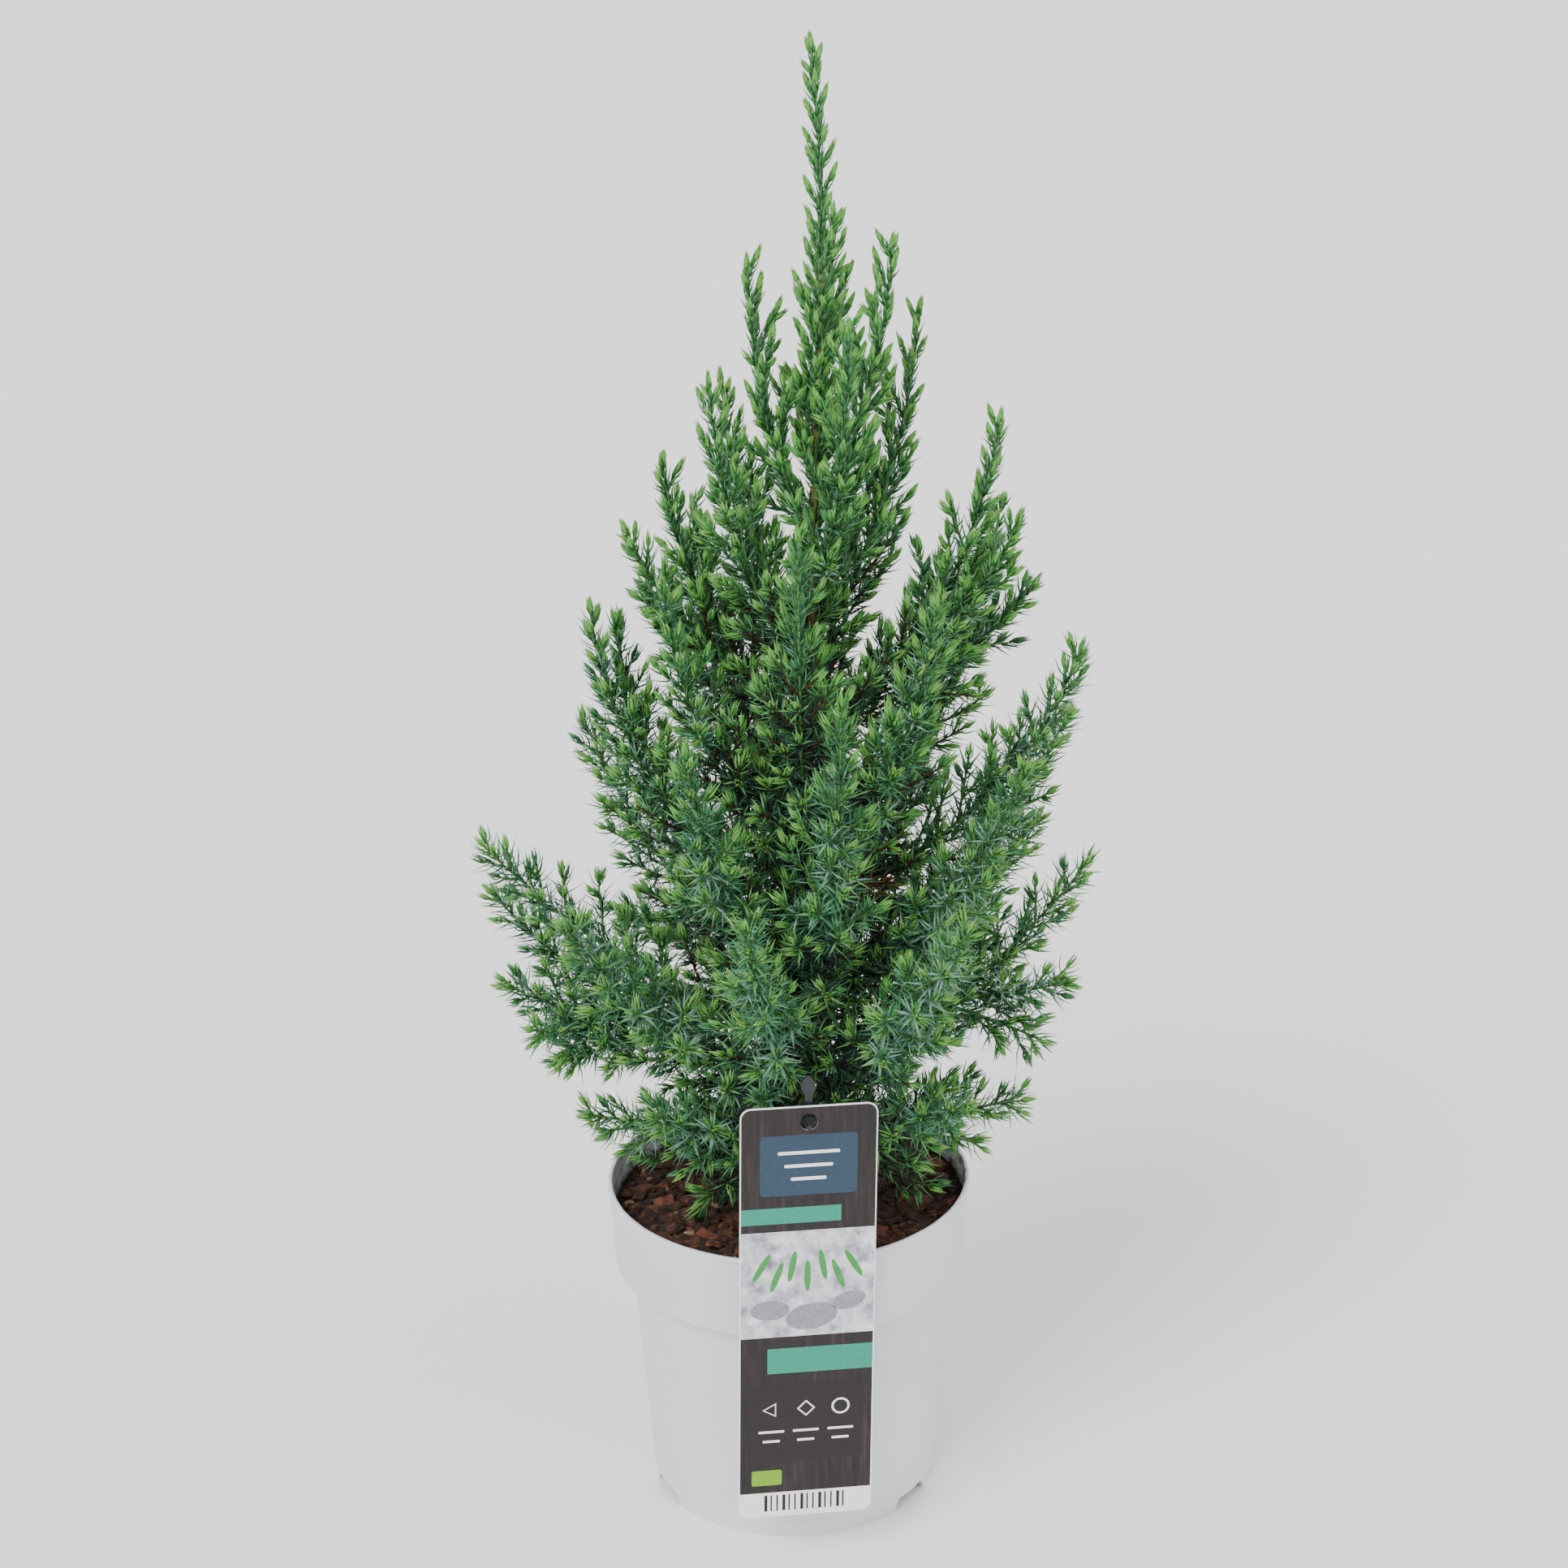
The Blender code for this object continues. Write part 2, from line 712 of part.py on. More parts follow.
def make_mass(name, path, start, others, outside, parts, rng, leader=False):
    """One mass of foliage: a needled stem with shorter shoots round it, inside its own space."""
    totals = lengths_along(path)
    reach = totals[-1] - start
    stem_path = [
        at_length(path, totals, start + step * reach / STEM_STEPS)[0] for step in range(STEM_STEPS + 1)
    ]
    stem_plan = spray_plan(stem_path, STEM_RADIUS, 0.0 if leader else BARE_STEM)
    stem = spray_core(f"{name}_stem", stem_plan, parts)
    inside = Obstacles(outside.known)
    twigs = []
    length = start + TWIG_GAP * FIRST_TWIG
    turn = rng.uniform(0, math.tau)
    fullness = min(1.0, reach / FULL_REACH) * (LEADER_FULLNESS if leader else 1.0)
    while length < totals[-1] - LAST_TWIG * BUD_LENGTH:
        share = (length - start) / reach
        base, forward = at_length(path, totals, length)
        side = forward.orthogonal().normalized()
        out = Matrix.Rotation(turn, 3, forward) @ side
        direction = forward * math.cos(TWIG_ANGLE) + out * math.sin(TWIG_ANGLE)
        wanted = TWIG_SHORTEST + (TWIG_LONGEST - TWIG_SHORTEST) * (1 - share) * fullness
        wanted *= rng.uniform(0.85, 1.1)
        for shrink in SHRINKS:
            shoot = twig_path(base, direction, wanted * shrink)
            twig = grow_twig(name, shoot, path, others, stem, inside, parts, leader)
            if twig:
                twigs.append(twig)
                break
        turn += TWIG_TURN + rng.uniform(-0.3, 0.3)
        length += TWIG_GAP * rng.uniform(0.8, 1.15)
    dress_spray(stem, stem_plan, NEEDLE * STEM_NEEDLE_SHARE, inside)
    mass = fuse(name, stem, twigs, parts)
    outside.add(mass)


def make_bough(name, path, parts):
    """The bare limb from the trunk to its mass. Returns the length at which the limb ends."""
    totals = lengths_along(path)
    start = clear_of_trunk(path, totals, BOUGH_FOOT_RADIUS)
    end = totals[-1] * BARE_SHARE
    steps = 4
    points = [at_length(path, totals, start + (end - start) * i / steps)[0] for i in range(steps + 1)]
    radii = [
        BOUGH_FOOT_RADIUS + (BOUGH_TIP_RADIUS - BOUGH_FOOT_RADIUS) * i / steps for i in range(steps + 1)
    ]
    bough = curve_tube(name, points, radii, parts, "trunk_bark", sides=6)
    smooth(bough)
    return bough, end


def make_card(parts):
    """The care card: a flat outline with round corners and a hole for the peg."""
    curve = bpy.data.curves.new("care_card", "CURVE")
    curve.dimensions = "2D"
    curve.fill_mode = "BOTH"
    curve.extrude = CARD_THICKNESS / 2
    half = CARD_WIDTH / 2
    corners = [
        (half - CARD_CORNER, -CARD_CORNER, 0),
        (-half + CARD_CORNER, -CARD_CORNER, 90),
        (-half + CARD_CORNER, CARD_CORNER - CARD_LENGTH, 180),
        (half - CARD_CORNER, CARD_CORNER - CARD_LENGTH, 270),
    ]
    outline = []
    for x, y, first in corners:
        for step in range(4):
            angle = math.radians(first + 30 * step)
            outline.append((x + CARD_CORNER * math.cos(angle), y + CARD_CORNER * math.sin(angle)))
    hole_y = PEG_Z - CARD_TOP
    hole = [
        (PEG_HOLE * math.cos(math.tau * i / 12), hole_y + PEG_HOLE * math.sin(math.tau * i / 12))
        for i in range(12)
    ]
    for loop in (outline, hole):
        spline = curve.splines.new("POLY")
        spline.points.add(len(loop) - 1)
        spline.use_cyclic_u = True
        for point, (x, y) in zip(spline.points, loop):
            point.co = (x, y, 0.0, 1.0)
    card = place(bpy.data.objects.new("care_card", curve), parts, "card_print")
    stand = Euler((math.radians(90), 0, 0)).to_matrix().to_4x4()
    peg = Vector((CARD_X, CARD_Y, PEG_Z))
    card.matrix_world = (
        Matrix.Translation(peg)
        @ Matrix.Rotation(CARD_TURN, 4, "Z")
        @ Matrix.Rotation(CARD_LEAN, 4, "Y")
        @ stand
        @ Matrix.Translation((0, -hole_y, 0))
    )
    return as_mesh(card, parts)


def flat_plate(name, outline, thickness, collection, material_name=None):
    """A plate from an outline of (x, y) points, centred on its own plane."""
    curve = bpy.data.curves.new(name, "CURVE")
    curve.dimensions = "2D"
    curve.fill_mode = "BOTH"
    curve.extrude = thickness / 2
    spline = curve.splines.new("POLY")
    spline.points.add(len(outline) - 1)
    spline.use_cyclic_u = True
    for point, (x, y) in zip(spline.points, outline):
        point.co = (x, y, 0.0, 1.0)
    return place(bpy.data.objects.new(name, curve), collection, material_name)


def make_hook(parts, cutters):
    """The hook over the rim: a bar behind the card, a spear-shaped head above it and a peg through it."""
    over = POT_HEIGHT + CLEAR
    inner_foot = SOIL_Z + SOIL_BUMP + 1.2 * MM
    front = HOOK_FRONT - HOOK_THICKNESS
    side = [
        (front, HOOK_FOOT),
        (HOOK_FRONT, HOOK_FOOT),
        (HOOK_FRONT, over),
        (HOOK_BACK, over),
        (HOOK_BACK, inner_foot),
        (HOOK_BACK + HOOK_THICKNESS, inner_foot),
        (HOOK_BACK + HOOK_THICKNESS, over + HOOK_THICKNESS),
        (HOOK_FRONT, over + HOOK_THICKNESS),
        (HOOK_FRONT, PEG_Z + 8 * MM),
        (front, PEG_Z + 8 * MM),
    ]
    hook = flat_plate("label_hook", side, HOOK_WIDTH, parts, "hook_anthracite")
    upright = Matrix(((0, 0, 1, CARD_X), (1, 0, 0, 0), (0, 1, 0, 0), (0, 0, 0, 1)))
    hook.matrix_world = upright
    hook = as_mesh(hook, parts)
    half = SPEAR_WIDTH / 2
    spear = [
        (-NECK_WIDTH / 2, PEG_Z + 6 * MM),
        (NECK_WIDTH / 2, PEG_Z + 6 * MM),
        (NECK_WIDTH / 2, NECK_Z),
        (half, NECK_Z + 3.2 * MM),
        (half * 0.8, SPEAR_TOP - 2.6 * MM),
        (half * 0.25, SPEAR_TOP),
        (-half * 0.25, SPEAR_TOP),
        (-half * 0.8, SPEAR_TOP - 2.6 * MM),
        (-half, NECK_Z + 3.2 * MM),
        (-NECK_WIDTH / 2, NECK_Z),
    ]
    head = flat_plate("hook_spear", spear, HOOK_THICKNESS * 0.8, cutters)
    middle = (front + HOOK_FRONT) / 2
    head.matrix_world = Matrix(((1, 0, 0, CARD_X), (0, 0, -1, middle), (0, 1, 0, 0), (0, 0, 0, 1)))
    head = helper(as_mesh(head, cutters))
    bm = bmesh.new()
    towards = Matrix.Translation((CARD_X, front + 1 * MM - PEG_LENGTH / 2, PEG_Z)) @ Matrix.Rotation(
        math.radians(90), 4, "X"
    )
    bmesh.ops.create_cone(
        bm,
        cap_ends=True,
        segments=12,
        radius1=PEG_RADIUS,
        radius2=0.35 * PEG_RADIUS,
        depth=PEG_LENGTH,
        matrix=towards,
    )
    peg = helper(mesh_object("hook_peg", bm, cutters))
    boolean(hook, head, "UNION")
    boolean(hook, peg, "UNION")
    return as_mesh(hook, parts)


def main():
    clear_scene()
    parts = new_collection("upright_juniper_in_container")
    cutters = new_collection("cutters", hidden=True)
    rng = random.Random(SEED)
    outside = Obstacles()
    for obj in (make_pot(parts, cutters), make_soil(parts, rng), make_card(parts)):
        outside.add(obj)
    outside.add(make_hook(parts, cutters))
    outside.add(make_trunk(parts))
    paths = {name: limb_path(*row) for name, row in {**BOUGHS, **SHOOTS}.items()}
    leader = [trunk_axis(TRUNK_TOP + (PLANT_HEIGHT - TRUNK_TOP) * i / 12) for i in range(13)]
    paths["leader"] = leader
    starts = {}
    for name in BOUGHS:
        bough, starts[name] = make_bough(f"bough_{name}", paths[name], parts)
        outside.add(bough)
    for name, path in paths.items():
        others = [other for key, other in paths.items() if key != name]
        if name in BOUGHS:
            start = starts[name] + CLEAR
        elif name in SHOOTS:
            start = clear_of_trunk(path, lengths_along(path), STEM_RADIUS)
        else:
            start = 2 * CLEAR
        make_mass(f"foliage_{name}", path, start, others, outside, parts, rng, name == "leader")


main()
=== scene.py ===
"""Looks of an upright juniper in a nursery container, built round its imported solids.

Units are metres unless a name or comment says mm, +Z is up, the floor is Z = 0, and the care card is on
the -Y side. Shoots and needles carry the rule of the solids on to finer twigs within their reach.
"""

import math
import random

import bpy
import numpy as np
from mathutils import Matrix, Vector, noise


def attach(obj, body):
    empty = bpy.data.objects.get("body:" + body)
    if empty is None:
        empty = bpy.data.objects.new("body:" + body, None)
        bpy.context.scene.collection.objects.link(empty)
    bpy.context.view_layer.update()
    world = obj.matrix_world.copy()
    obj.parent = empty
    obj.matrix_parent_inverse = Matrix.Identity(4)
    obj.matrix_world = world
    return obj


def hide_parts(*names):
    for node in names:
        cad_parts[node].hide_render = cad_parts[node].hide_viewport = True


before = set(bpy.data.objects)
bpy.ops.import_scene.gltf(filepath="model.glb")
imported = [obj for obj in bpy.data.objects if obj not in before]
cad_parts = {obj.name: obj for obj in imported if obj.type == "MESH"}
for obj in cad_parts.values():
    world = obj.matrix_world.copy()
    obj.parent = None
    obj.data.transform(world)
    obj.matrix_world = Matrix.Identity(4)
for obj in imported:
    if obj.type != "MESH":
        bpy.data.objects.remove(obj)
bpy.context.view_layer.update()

MM = 0.001
SEED = 11

# Container
POT_HEIGHT = 157.6 * MM
RIM_RADIUS = 85.3 * MM
LIP_PROUD = 0.6 * MM
LIP_HEIGHT = 2.5 * MM
LIP_EASE = 0.25 * MM
LIP_SHARES = (0, 0.15, 0.35, 0.6, 0.85, 1)
COLLAR_HEIGHT = 41.0 * MM
COLLAR_Z = POT_HEIGHT - COLLAR_HEIGHT
COLLAR_FOOT_RADIUS = 83.2 * MM
BODY_TOP_RADIUS = 75.5 * MM
CREASE_Z = 9.0 * MM
FOOT_RADIUS = 67.8 * MM
FOOT_WIDTH = 1.8 * MM
POT_WALL = 1.6 * MM
FLOOR_HEIGHT = 8.0 * MM
FLOOR_TOP = FLOOR_HEIGHT + POT_WALL
NOTCH_HEIGHT = 6.0 * MM
NOTCH_ANGLE = 23.0
NOTCH_TOP_SHARE = 0.72
NOTCH_DEPTH = 10.0 * MM
NOTCH_CENTRES = (-35.0, 85.0, 205.0)
DRAIN_HOLES = 6
DRAIN_RADIUS = 3.5 * MM
DRAIN_CIRCLE = 50.0 * MM
DRAIN_SIDES = 24
CUT_DEPTH = 8.0 * MM
POT_STEPS = 144
POT_SMOOTH = math.radians(28)
DUST_RADII = (84.6 * MM, 84.1 * MM)
DUST_HEIGHTS = (140.0 * MM, 143.0 * MM)

# Potting mix: a lumpy bed, and chips by kind as (name, dark, light, running share)
SOIL_Z = 145.0 * MM
SOIL_RADIUS = 82.3 * MM
SOIL_RINGS = 40
SOIL_STEPS = 120
SOIL_GAP = 1.0 * MM
SOIL_SLOPE_MM = 1.6
LUMPS = ((90, 2.2, 0.0), (300, 0.9, 3.0))
CHIPS = 1500
CHIP_KINDS = (
    ("dark_pine_bark", "#1C100B", "#3E2619", 0.42),
    ("brown_pine_bark", "#2E1B12", "#5C3B28", 0.8),
    ("red_pine_bark", "#43231A", "#7C4A36", 0.95),
    ("pale_pine_bark", "#5B4534", "#A08666", 1.0),
)
PALE_KIND = 3
PALE_SIZE = 0.6
CHIP_LONG_MM = (4, 13)
CHIP_WIDE = (0.4, 0.8)
CHIP_THICK_MM = (1.2, 3.4)
CHIP_TILT = 0.25
CHIP_LIFT = (0.1, 0.6)
CHIP_RAGGED = (0.7, 1.15)
CHIP_WEAR = 0.35 * MM
CHIP_WALL_ROOM = 3.0 * MM
CHIP_REACH = 0.6
CHIP_TRUNK_ROOM = 9.0 * MM
BOX_FACES = ((0, 1, 3, 2), (4, 6, 7, 5), (0, 4, 5, 1), (2, 3, 7, 6), (0, 2, 6, 4), (1, 5, 7, 3))

# Trunk and crown, as in the solids
TRUNK_FOOT_X = 2.5 * MM
TRUNK_LEAN = 0.043
TRUNK_SWAY = 2.0 * MM
TRUNK_TOP = 455.0 * MM
PLANT_HEIGHT = 548.0 * MM
TIP_NOD = 7.6 * MM
NOD_START = 0.8 * PLANT_HEIGHT
NOD_LENGTH = 0.2 * PLANT_HEIGHT
TRUNK_FOOT_RADIUS = 4.4 * MM
TRUNK_TOP_RADIUS = 0.9 * MM
TRUNK_TAPER = 0.85
FLARE_RADIUS = 3.6 * MM
FLARE_HEIGHT = 11.0 * MM
FLARE_FALL = 0.4
# Azimuth in degrees; height on the trunk, reach and tip height in mm; bend in degrees
BOUGHS = {
    "low_left": (196, 24, 106, 60, -6),
    "low_front_left": (226, 34, 100, 82, 8),
    "low_front_right": (318, 30, 106, 84, 6),
    "low_right": (345, 26, 112, 64, -4),
    "low_back_right": (48, 28, 108, 72, 4),
    "low_back_left": (130, 26, 106, 76, 4),
    "wide_left": (173, 46, 149, 156, 12),
    "wide_front_left": (218, 58, 138, 184, 14),
    "wide_front": (258, 66, 131, 200, 16),
    "wide_front_right": (302, 60, 132, 190, 14),
    "wide_right": (357, 50, 132, 176, 12),
    "wide_back_right": (30, 60, 132, 170, 12),
    "wide_back": (80, 48, 126, 158, 12),
    "wide_back_left": (120, 62, 134, 186, 14),
    "mid_left": (188, 78, 150, 196, 12),
}
SHOOTS = {
    "mid_back_left": (150, 98, 122, 226, 18),
    "mid_front_left": (236, 104, 98, 262, 22),
    "mid_front": (277, 100, 92, 288, 26),
    "mid_front_right": (325, 92, 116, 246, 18),
    "mid_right": (8, 104, 122, 240, 18),
    "mid_back_right": (55, 108, 116, 236, 18),
    "mid_back": (98, 112, 116, 248, 18),
    "tall_left": (184, 138, 99, 304, 26),
    "tall_front_left": (212, 168, 78, 326, 22),
    "tall_front": (262, 176, 62, 352, 22),
    "tall_front_right": (308, 158, 84, 322, 22),
    "tall_right": (352, 148, 122, 284, 26),
    "tall_back_right": (28, 168, 98, 332, 22),
    "tall_back": (80, 182, 82, 326, 20),
    "tall_back_left": (132, 176, 82, 330, 20),
    "upper_left": (176, 232, 68, 366, 20),
    "upper_front": (204, 258, 52, 409, 16),
    "upper_right": (356, 222, 80, 386, 22),
    "upper_back_right": (32, 266, 52, 427, 16),
    "upper_back_left": (140, 258, 56, 396, 16),
    "top_left": (184, 322, 32, 456, 12),
    "top_right": (350, 330, 31, 464, 12),
    "top_back": (80, 346, 34, 470, 12),
    "top_front": (285, 292, 42, 436, 16),
}
# Side shoots between the tips: parent, share along it, azimuth, reach, tip height
SPURS = (
    ("wide_left", 0.5, 192, 142, 132),
    ("wide_left", 0.44, 197, 132, 110),
    ("wide_left", 0.4, 193, 119, 84),
    ("wide_right", 0.5, 350, 128, 122),
    ("wide_right", 0.44, 345, 119, 92),
    ("upper_left", 0.3, 186, 85, 340),
    ("tall_left", 0.4, 172, 90, 292),
    ("upper_right", 0.34, 350, 92, 344),
    ("upper_right", 0.22, 4, 102, 306),
    ("wide_back_left", 0.45, 140, 122, 120),
    ("wide_back_right", 0.45, 46, 122, 118),
    ("tall_back", 0.4, 96, 88, 290),
    ("tall_back_left", 0.45, 150, 90, 296),
    ("tall_back_right", 0.45, 48, 90, 300),
)
LIMB_POINTS = 25
SPUR_POINTS = 15
SPUR_KNEE = np.array((0.65, 0.65, 0.3))
LEADER_POINTS = 21
LEADER_LAP = 105.0 * MM
BARE_SHARE = 0.36
BOUGH_FOOT_RADIUS = 2.3 * MM
BOUGH_TIP_RADIUS = 1.35 * MM

# Bark relief
FLARE_ROWS = 16
FLARE_TOP = 20.0 * MM
TRUNK_ROWS = 230
TRUNK_SIDES = 36
TRUNK_RELIEF = 0.35 * MM
TRUNK_RELIEF_SHARE = 0.1
BOUGH_ROWS = 34
BOUGH_SIDES = 14
BOUGH_RELIEF = 0.28 * MM
BOUGH_SEED_STEP = 9.0
STRIPS_ROUND = 2.6
STRIPS_ALONG = 55
STRIP_HEIGHT = 1.6
STRIP_LEVEL = 0.4
FINE_SCALE = 2.7
FINE_HEIGHT = 0.4

# Twigs
TWIG_TURN = math.radians(137.5)
TWIG_TURN_SPREAD = 0.3
TWIG_ANGLE = 46
TWIG_ANGLE_CLOSING = 16
TWIG_ANGLE_SPREAD = 5
TWIG_LONGEST = 60.0 * MM
TWIG_SHORTEST = 16.0 * MM
TWIG_TIP_LENGTH = 10.0 * MM
TWIG_LENGTHS = (0.7, 1.1)
TWIG_SHRINKS = (1.0, 0.75, 0.5)
TWIG_STEPS = 5
TWIG_RISE = 0.35
TWIG_SWAY = 0.05
TWIG_RADIUS = 0.75 * MM
TWIG_TIP_RADIUS = 0.45 * MM
TWIG_SIDES = 5
TWIG_RING_STEP = 9.0 * MM
TWIG_SHORT_OF_BUD = 2.5 * MM
TWIG_FEWEST_RINGS = 4
TWIG_GAP = 4.3 * MM
GAP_SPREAD = (0.75, 1.25)
FIRST_GAP = 0.6
LAST_TWIG = 0.55
FULL_REACH = 95.0 * MM
LEADER_FULLNESS = 0.45
STEM_RADIUS = 1.15 * MM
STEM_RINGS = 24
STEM_LAP = 0.9
STEM_BARE = 0.12
SHOOT_BARE = 5.0 * MM
INNER_SHARE = 0.22
SIDE_GAP = 8.5 * MM
SIDE_FROM = 0.18
SIDE_LONGEST = 0.42
SIDE_SHORTEST = 8.0 * MM
SIDE_BEARER = 20.0 * MM
SPUR_RADIUS = 1.0 * MM
SPUR_BARE = 0.1
SPUR_LONGEST = 36.0 * MM
HEART_HEIGHTS = (22.0 * MM, 440.0 * MM)
HEART_POINTS = 44
HEART_GAP = 3.6 * MM
HEART_LONGEST = 50.0 * MM
HEART_SHORTEST = 18.0 * MM
BANDED_CHANCE = 0.45
HEART_BANDED = 0.3

# Room that shoots keep
TIP_ROOM = 2.0 * MM
TIP_RISE = 12.0 * MM
LEADER_ROOM = 2.0 * MM
SPACE_ROOM = 3.0 * MM
SOIL_ROOM = 4.0 * MM
RIM_ROOM = 4.0 * MM
RIM_INSIDE = 74.0 * MM
CARD_ASIDE = 36.0 * MM
CARD_BEHIND_Y = -80.0 * MM
CARD_ABOVE = 9.0 * MM

# Needles: lean in degrees and sizes in mm, low in the crown, high in it and in a bud
WHORL_STEP = 3.6 * MM
BUD_STEP = 1.8 * MM
STEP_SPREAD = (0.9, 1.1)
FIRST_WHORL = 1.2 * MM
LAST_WHORL = 4.0 * MM
BUD_LENGTH = 12.0 * MM
BUD_CROWDED = 0.75
BUD_CLOSING = 0.8
CLOSING_POWER = 0.8
HIGH_FROM = 0.35
HIGH_SPAN = 0.4
LOW_SPREAD = 64
HIGH_SPREAD = 20
BUD_SPREAD = math.radians(7)
LEAN_JITTER = 0.09
TURN_JITTER = 0.16
LOW_LENGTH = 11.8
HIGH_SHORTER = 3.8
LENGTH_JITTER = (0.85, 1.12)
PAST_TIP = 1.5 * MM
NEEDLE_WIDTH = 1.12
BUD_WIDER = 0.35
HIGH_WIDER = 0.45
NEEDLE_ROOT = 0.4 * MM
CURL = 0.05
BUD_CURL = 0.42
CURL_MOST = 0.9
KNEE_SHARE = 0.32
ROOT_WIDTH = 0.7
ROOT_KEEL = 0.5
KNEE_KEEL = 0.75
INNER_FACES = ((0, 2, 5), (0, 5, 3), (3, 5, 6))
OUTER_FACES = ((0, 3, 4), (0, 4, 1), (1, 4, 5), (1, 5, 2), (3, 6, 4), (4, 6, 5), (0, 1, 2))
NEEDLE_POINTS = 7
NEEDLES_A_PIECE = 18000

# Needle tones: name, colour of the banded inner face, colour of the keeled outer face. The first tone
# is painted shade, darker needles for the heart of the crown; the others are needles by growth, and
# dead ones.
TONES = (
    ("painted_shade", "#2F5242", "#0F2617"),
    ("banded", "#7BA893", "#1A4730"),
    ("grown", "#4F8C66", "#1C5230"),
    ("young", "#6A9E6C", "#3A7040"),
    ("fresh", "#64A05C", "#3A7A38"),
    ("bud", "#8FC069", "#5D9C42"),
    ("dead", "#6B4527", "#452818"),
)
PAINTED_SHADE, BANDED, GROWN, YOUNG, FRESH, BUD, DEAD = range(7)
YOUNG_FROM = 0.42
YOUNG_SPAN = 0.3
LIGHT_TWIG = 24.0 * MM
LIGHT_CHANCE = 0.3
DULL_BUD = 0.45
FRESH_REACH = 1.15
BUD_REACH = 0.62
HEART_X = 10.0 * MM
DEAD_DEPTH = 22.0 * MM
DEAD_HEIGHT = 230.0 * MM
DEAD_CHANCE = 0.1
# Painted shade: twigs this near the heart and this low take the dark tone, at this chance
SHADE_DEPTH = 52.0 * MM
SHADE_HEIGHT = 300.0 * MM
SHADE_CHANCE = 0.8

# Care card, with its print in mm across and down from its top middle
CARD_WIDTH = 62.0 * MM
CARD_LENGTH = 211.0 * MM
CARD_THICKNESS = 0.6 * MM
CARD_CORNER_MM = 5
CARD_TOP = 239.0 * MM
CARD_X = 9.6 * MM
CARD_Y = -90.6 * MM
CARD_TURN = math.radians(8)
CARD_LEAN = math.radians(1.5)
CORNER_STEPS = 6
PEG_Z = 231.0 * MM
PEG_HOLE = 4.0 * MM
PEG_SIDES = 32
PEG_CUT = 12.0 * MM
INK = 0.05 * MM
EDGE = 0.6
HALF = CARD_WIDTH / MM / 2
INKS = {
    "white": ("coated_white_sheet", "#EDEDEC", "#F6F6F5"),
    "slate": ("slate_blue_ink", "#23394C", "#294155"),
    "teal": ("teal_ink", "#1E8A70", "#24937A"),
    "dark": ("aubergine_ink", "#1A1013", "#20161A"),
    "leafy": ("leaf_green_ink", "#2F8A3C", "#3F9A48"),
    "pebble": ("pebble_grey_ink", "#7F818B", "#9799A2"),
    "lime": ("lime_ink", "#73A414", "#7DAC22"),
}
# Each plate: name, left, top, right, bottom, corner, ink, layer
GROUNDS = (
    ("print_picture", -HALF + EDGE, 62, HALF - EDGE, 116, 0, "stone", 2),
    ("print_ground_foot", -HALF + EDGE, 116, HALF - EDGE, 198, 0, "timber", 1),
    ("print_panel", -HALF + 9, 14, HALF - 9, 44, 2, "slate", 2),
    ("print_band", -HALF + EDGE, 50, HALF - 16, 58, 0, "teal", 2),
    ("print_name_band", -HALF + 13, 122, HALF - EDGE, 135, 0, "teal", 2),
    ("print_care_panel", -HALF + 5, 141, HALF - 5, 182, 2, "dark", 2),
    ("print_rule_1", -14, 22, 14, 23.6, 0.6, "white", 3),
    ("print_rule_2", -11, 28.5, 11, 30.1, 0.6, "white", 3),
    ("print_rule_3", -8, 35, 8, 36.6, 0.6, "white", 3),
)
# Each motif: name, corners, turn, across, down, half width, half height, ink, layer
MOTIFS = (
    ("print_pebble_1", 32, 0, -17, 102, 9, 4.95, "pebble", 3),
    ("print_pebble_2", 32, 8, 2, 106, 12, 6.6, "pebble", 3),
    ("print_pebble_3", 32, 16, 19, 99, 8, 4.4, "pebble", 3),
    *(
        (f"print_leaf_{i + 1}", 12, 60 + 10 * i, -21 + 7 * i, (80, 85)[i % 2], 8, 1.5, "leafy", 4)
        for i in range(7)
    ),
)
SIGN_CORNERS = (3, 4, 32)
SIGN_STEP = 16
SIGN_DOWN = 154
SIGN_OUTER = 4.2
SIGN_INNER = 3.2
# Each rule under a sign: name, half width, top, bottom
SIGN_RULES = (("rule", 6, 165, 166.2), ("foot", 4, 170, 171.2))
STRIPES = 14
STRIPE_START = 12
STRIPE_STEP = 2.8
STRIPE_WIDTH = 0.7
STRIPE_EVERY = 3
STRIPE_ENDS = (199.5, 208)

# Studio, and the photograph's viewing angle
CAMERA_PLACE = (1.46 * MM, -1469.1 * MM, 939.0 * MM)
CAMERA_PITCH = math.radians(21.64)
CAMERA_ROLL = math.radians(-1.141)
CAMERA_LENS = 80.0
CAMERA_SENSOR = 36.0
LAMPS = (("key", (-1.3, -1.9, 2.4), 2.6, 30), ("fill", (1.8, -1.4, 1.6), 0.8, 60))
SKY_STRENGTH = 1.1
FLOOR_SIZE = 40


def linear(hex_colour):
    """An sRGB hex colour as the linear values that a shader reads."""
    values = [int(hex_colour[start : start + 2], 16) / 255 for start in (1, 3, 5)]
    return (*(v / 12.92 if v <= 0.04045 else ((v + 0.055) / 1.055) ** 2.4 for v in values), 1.0)


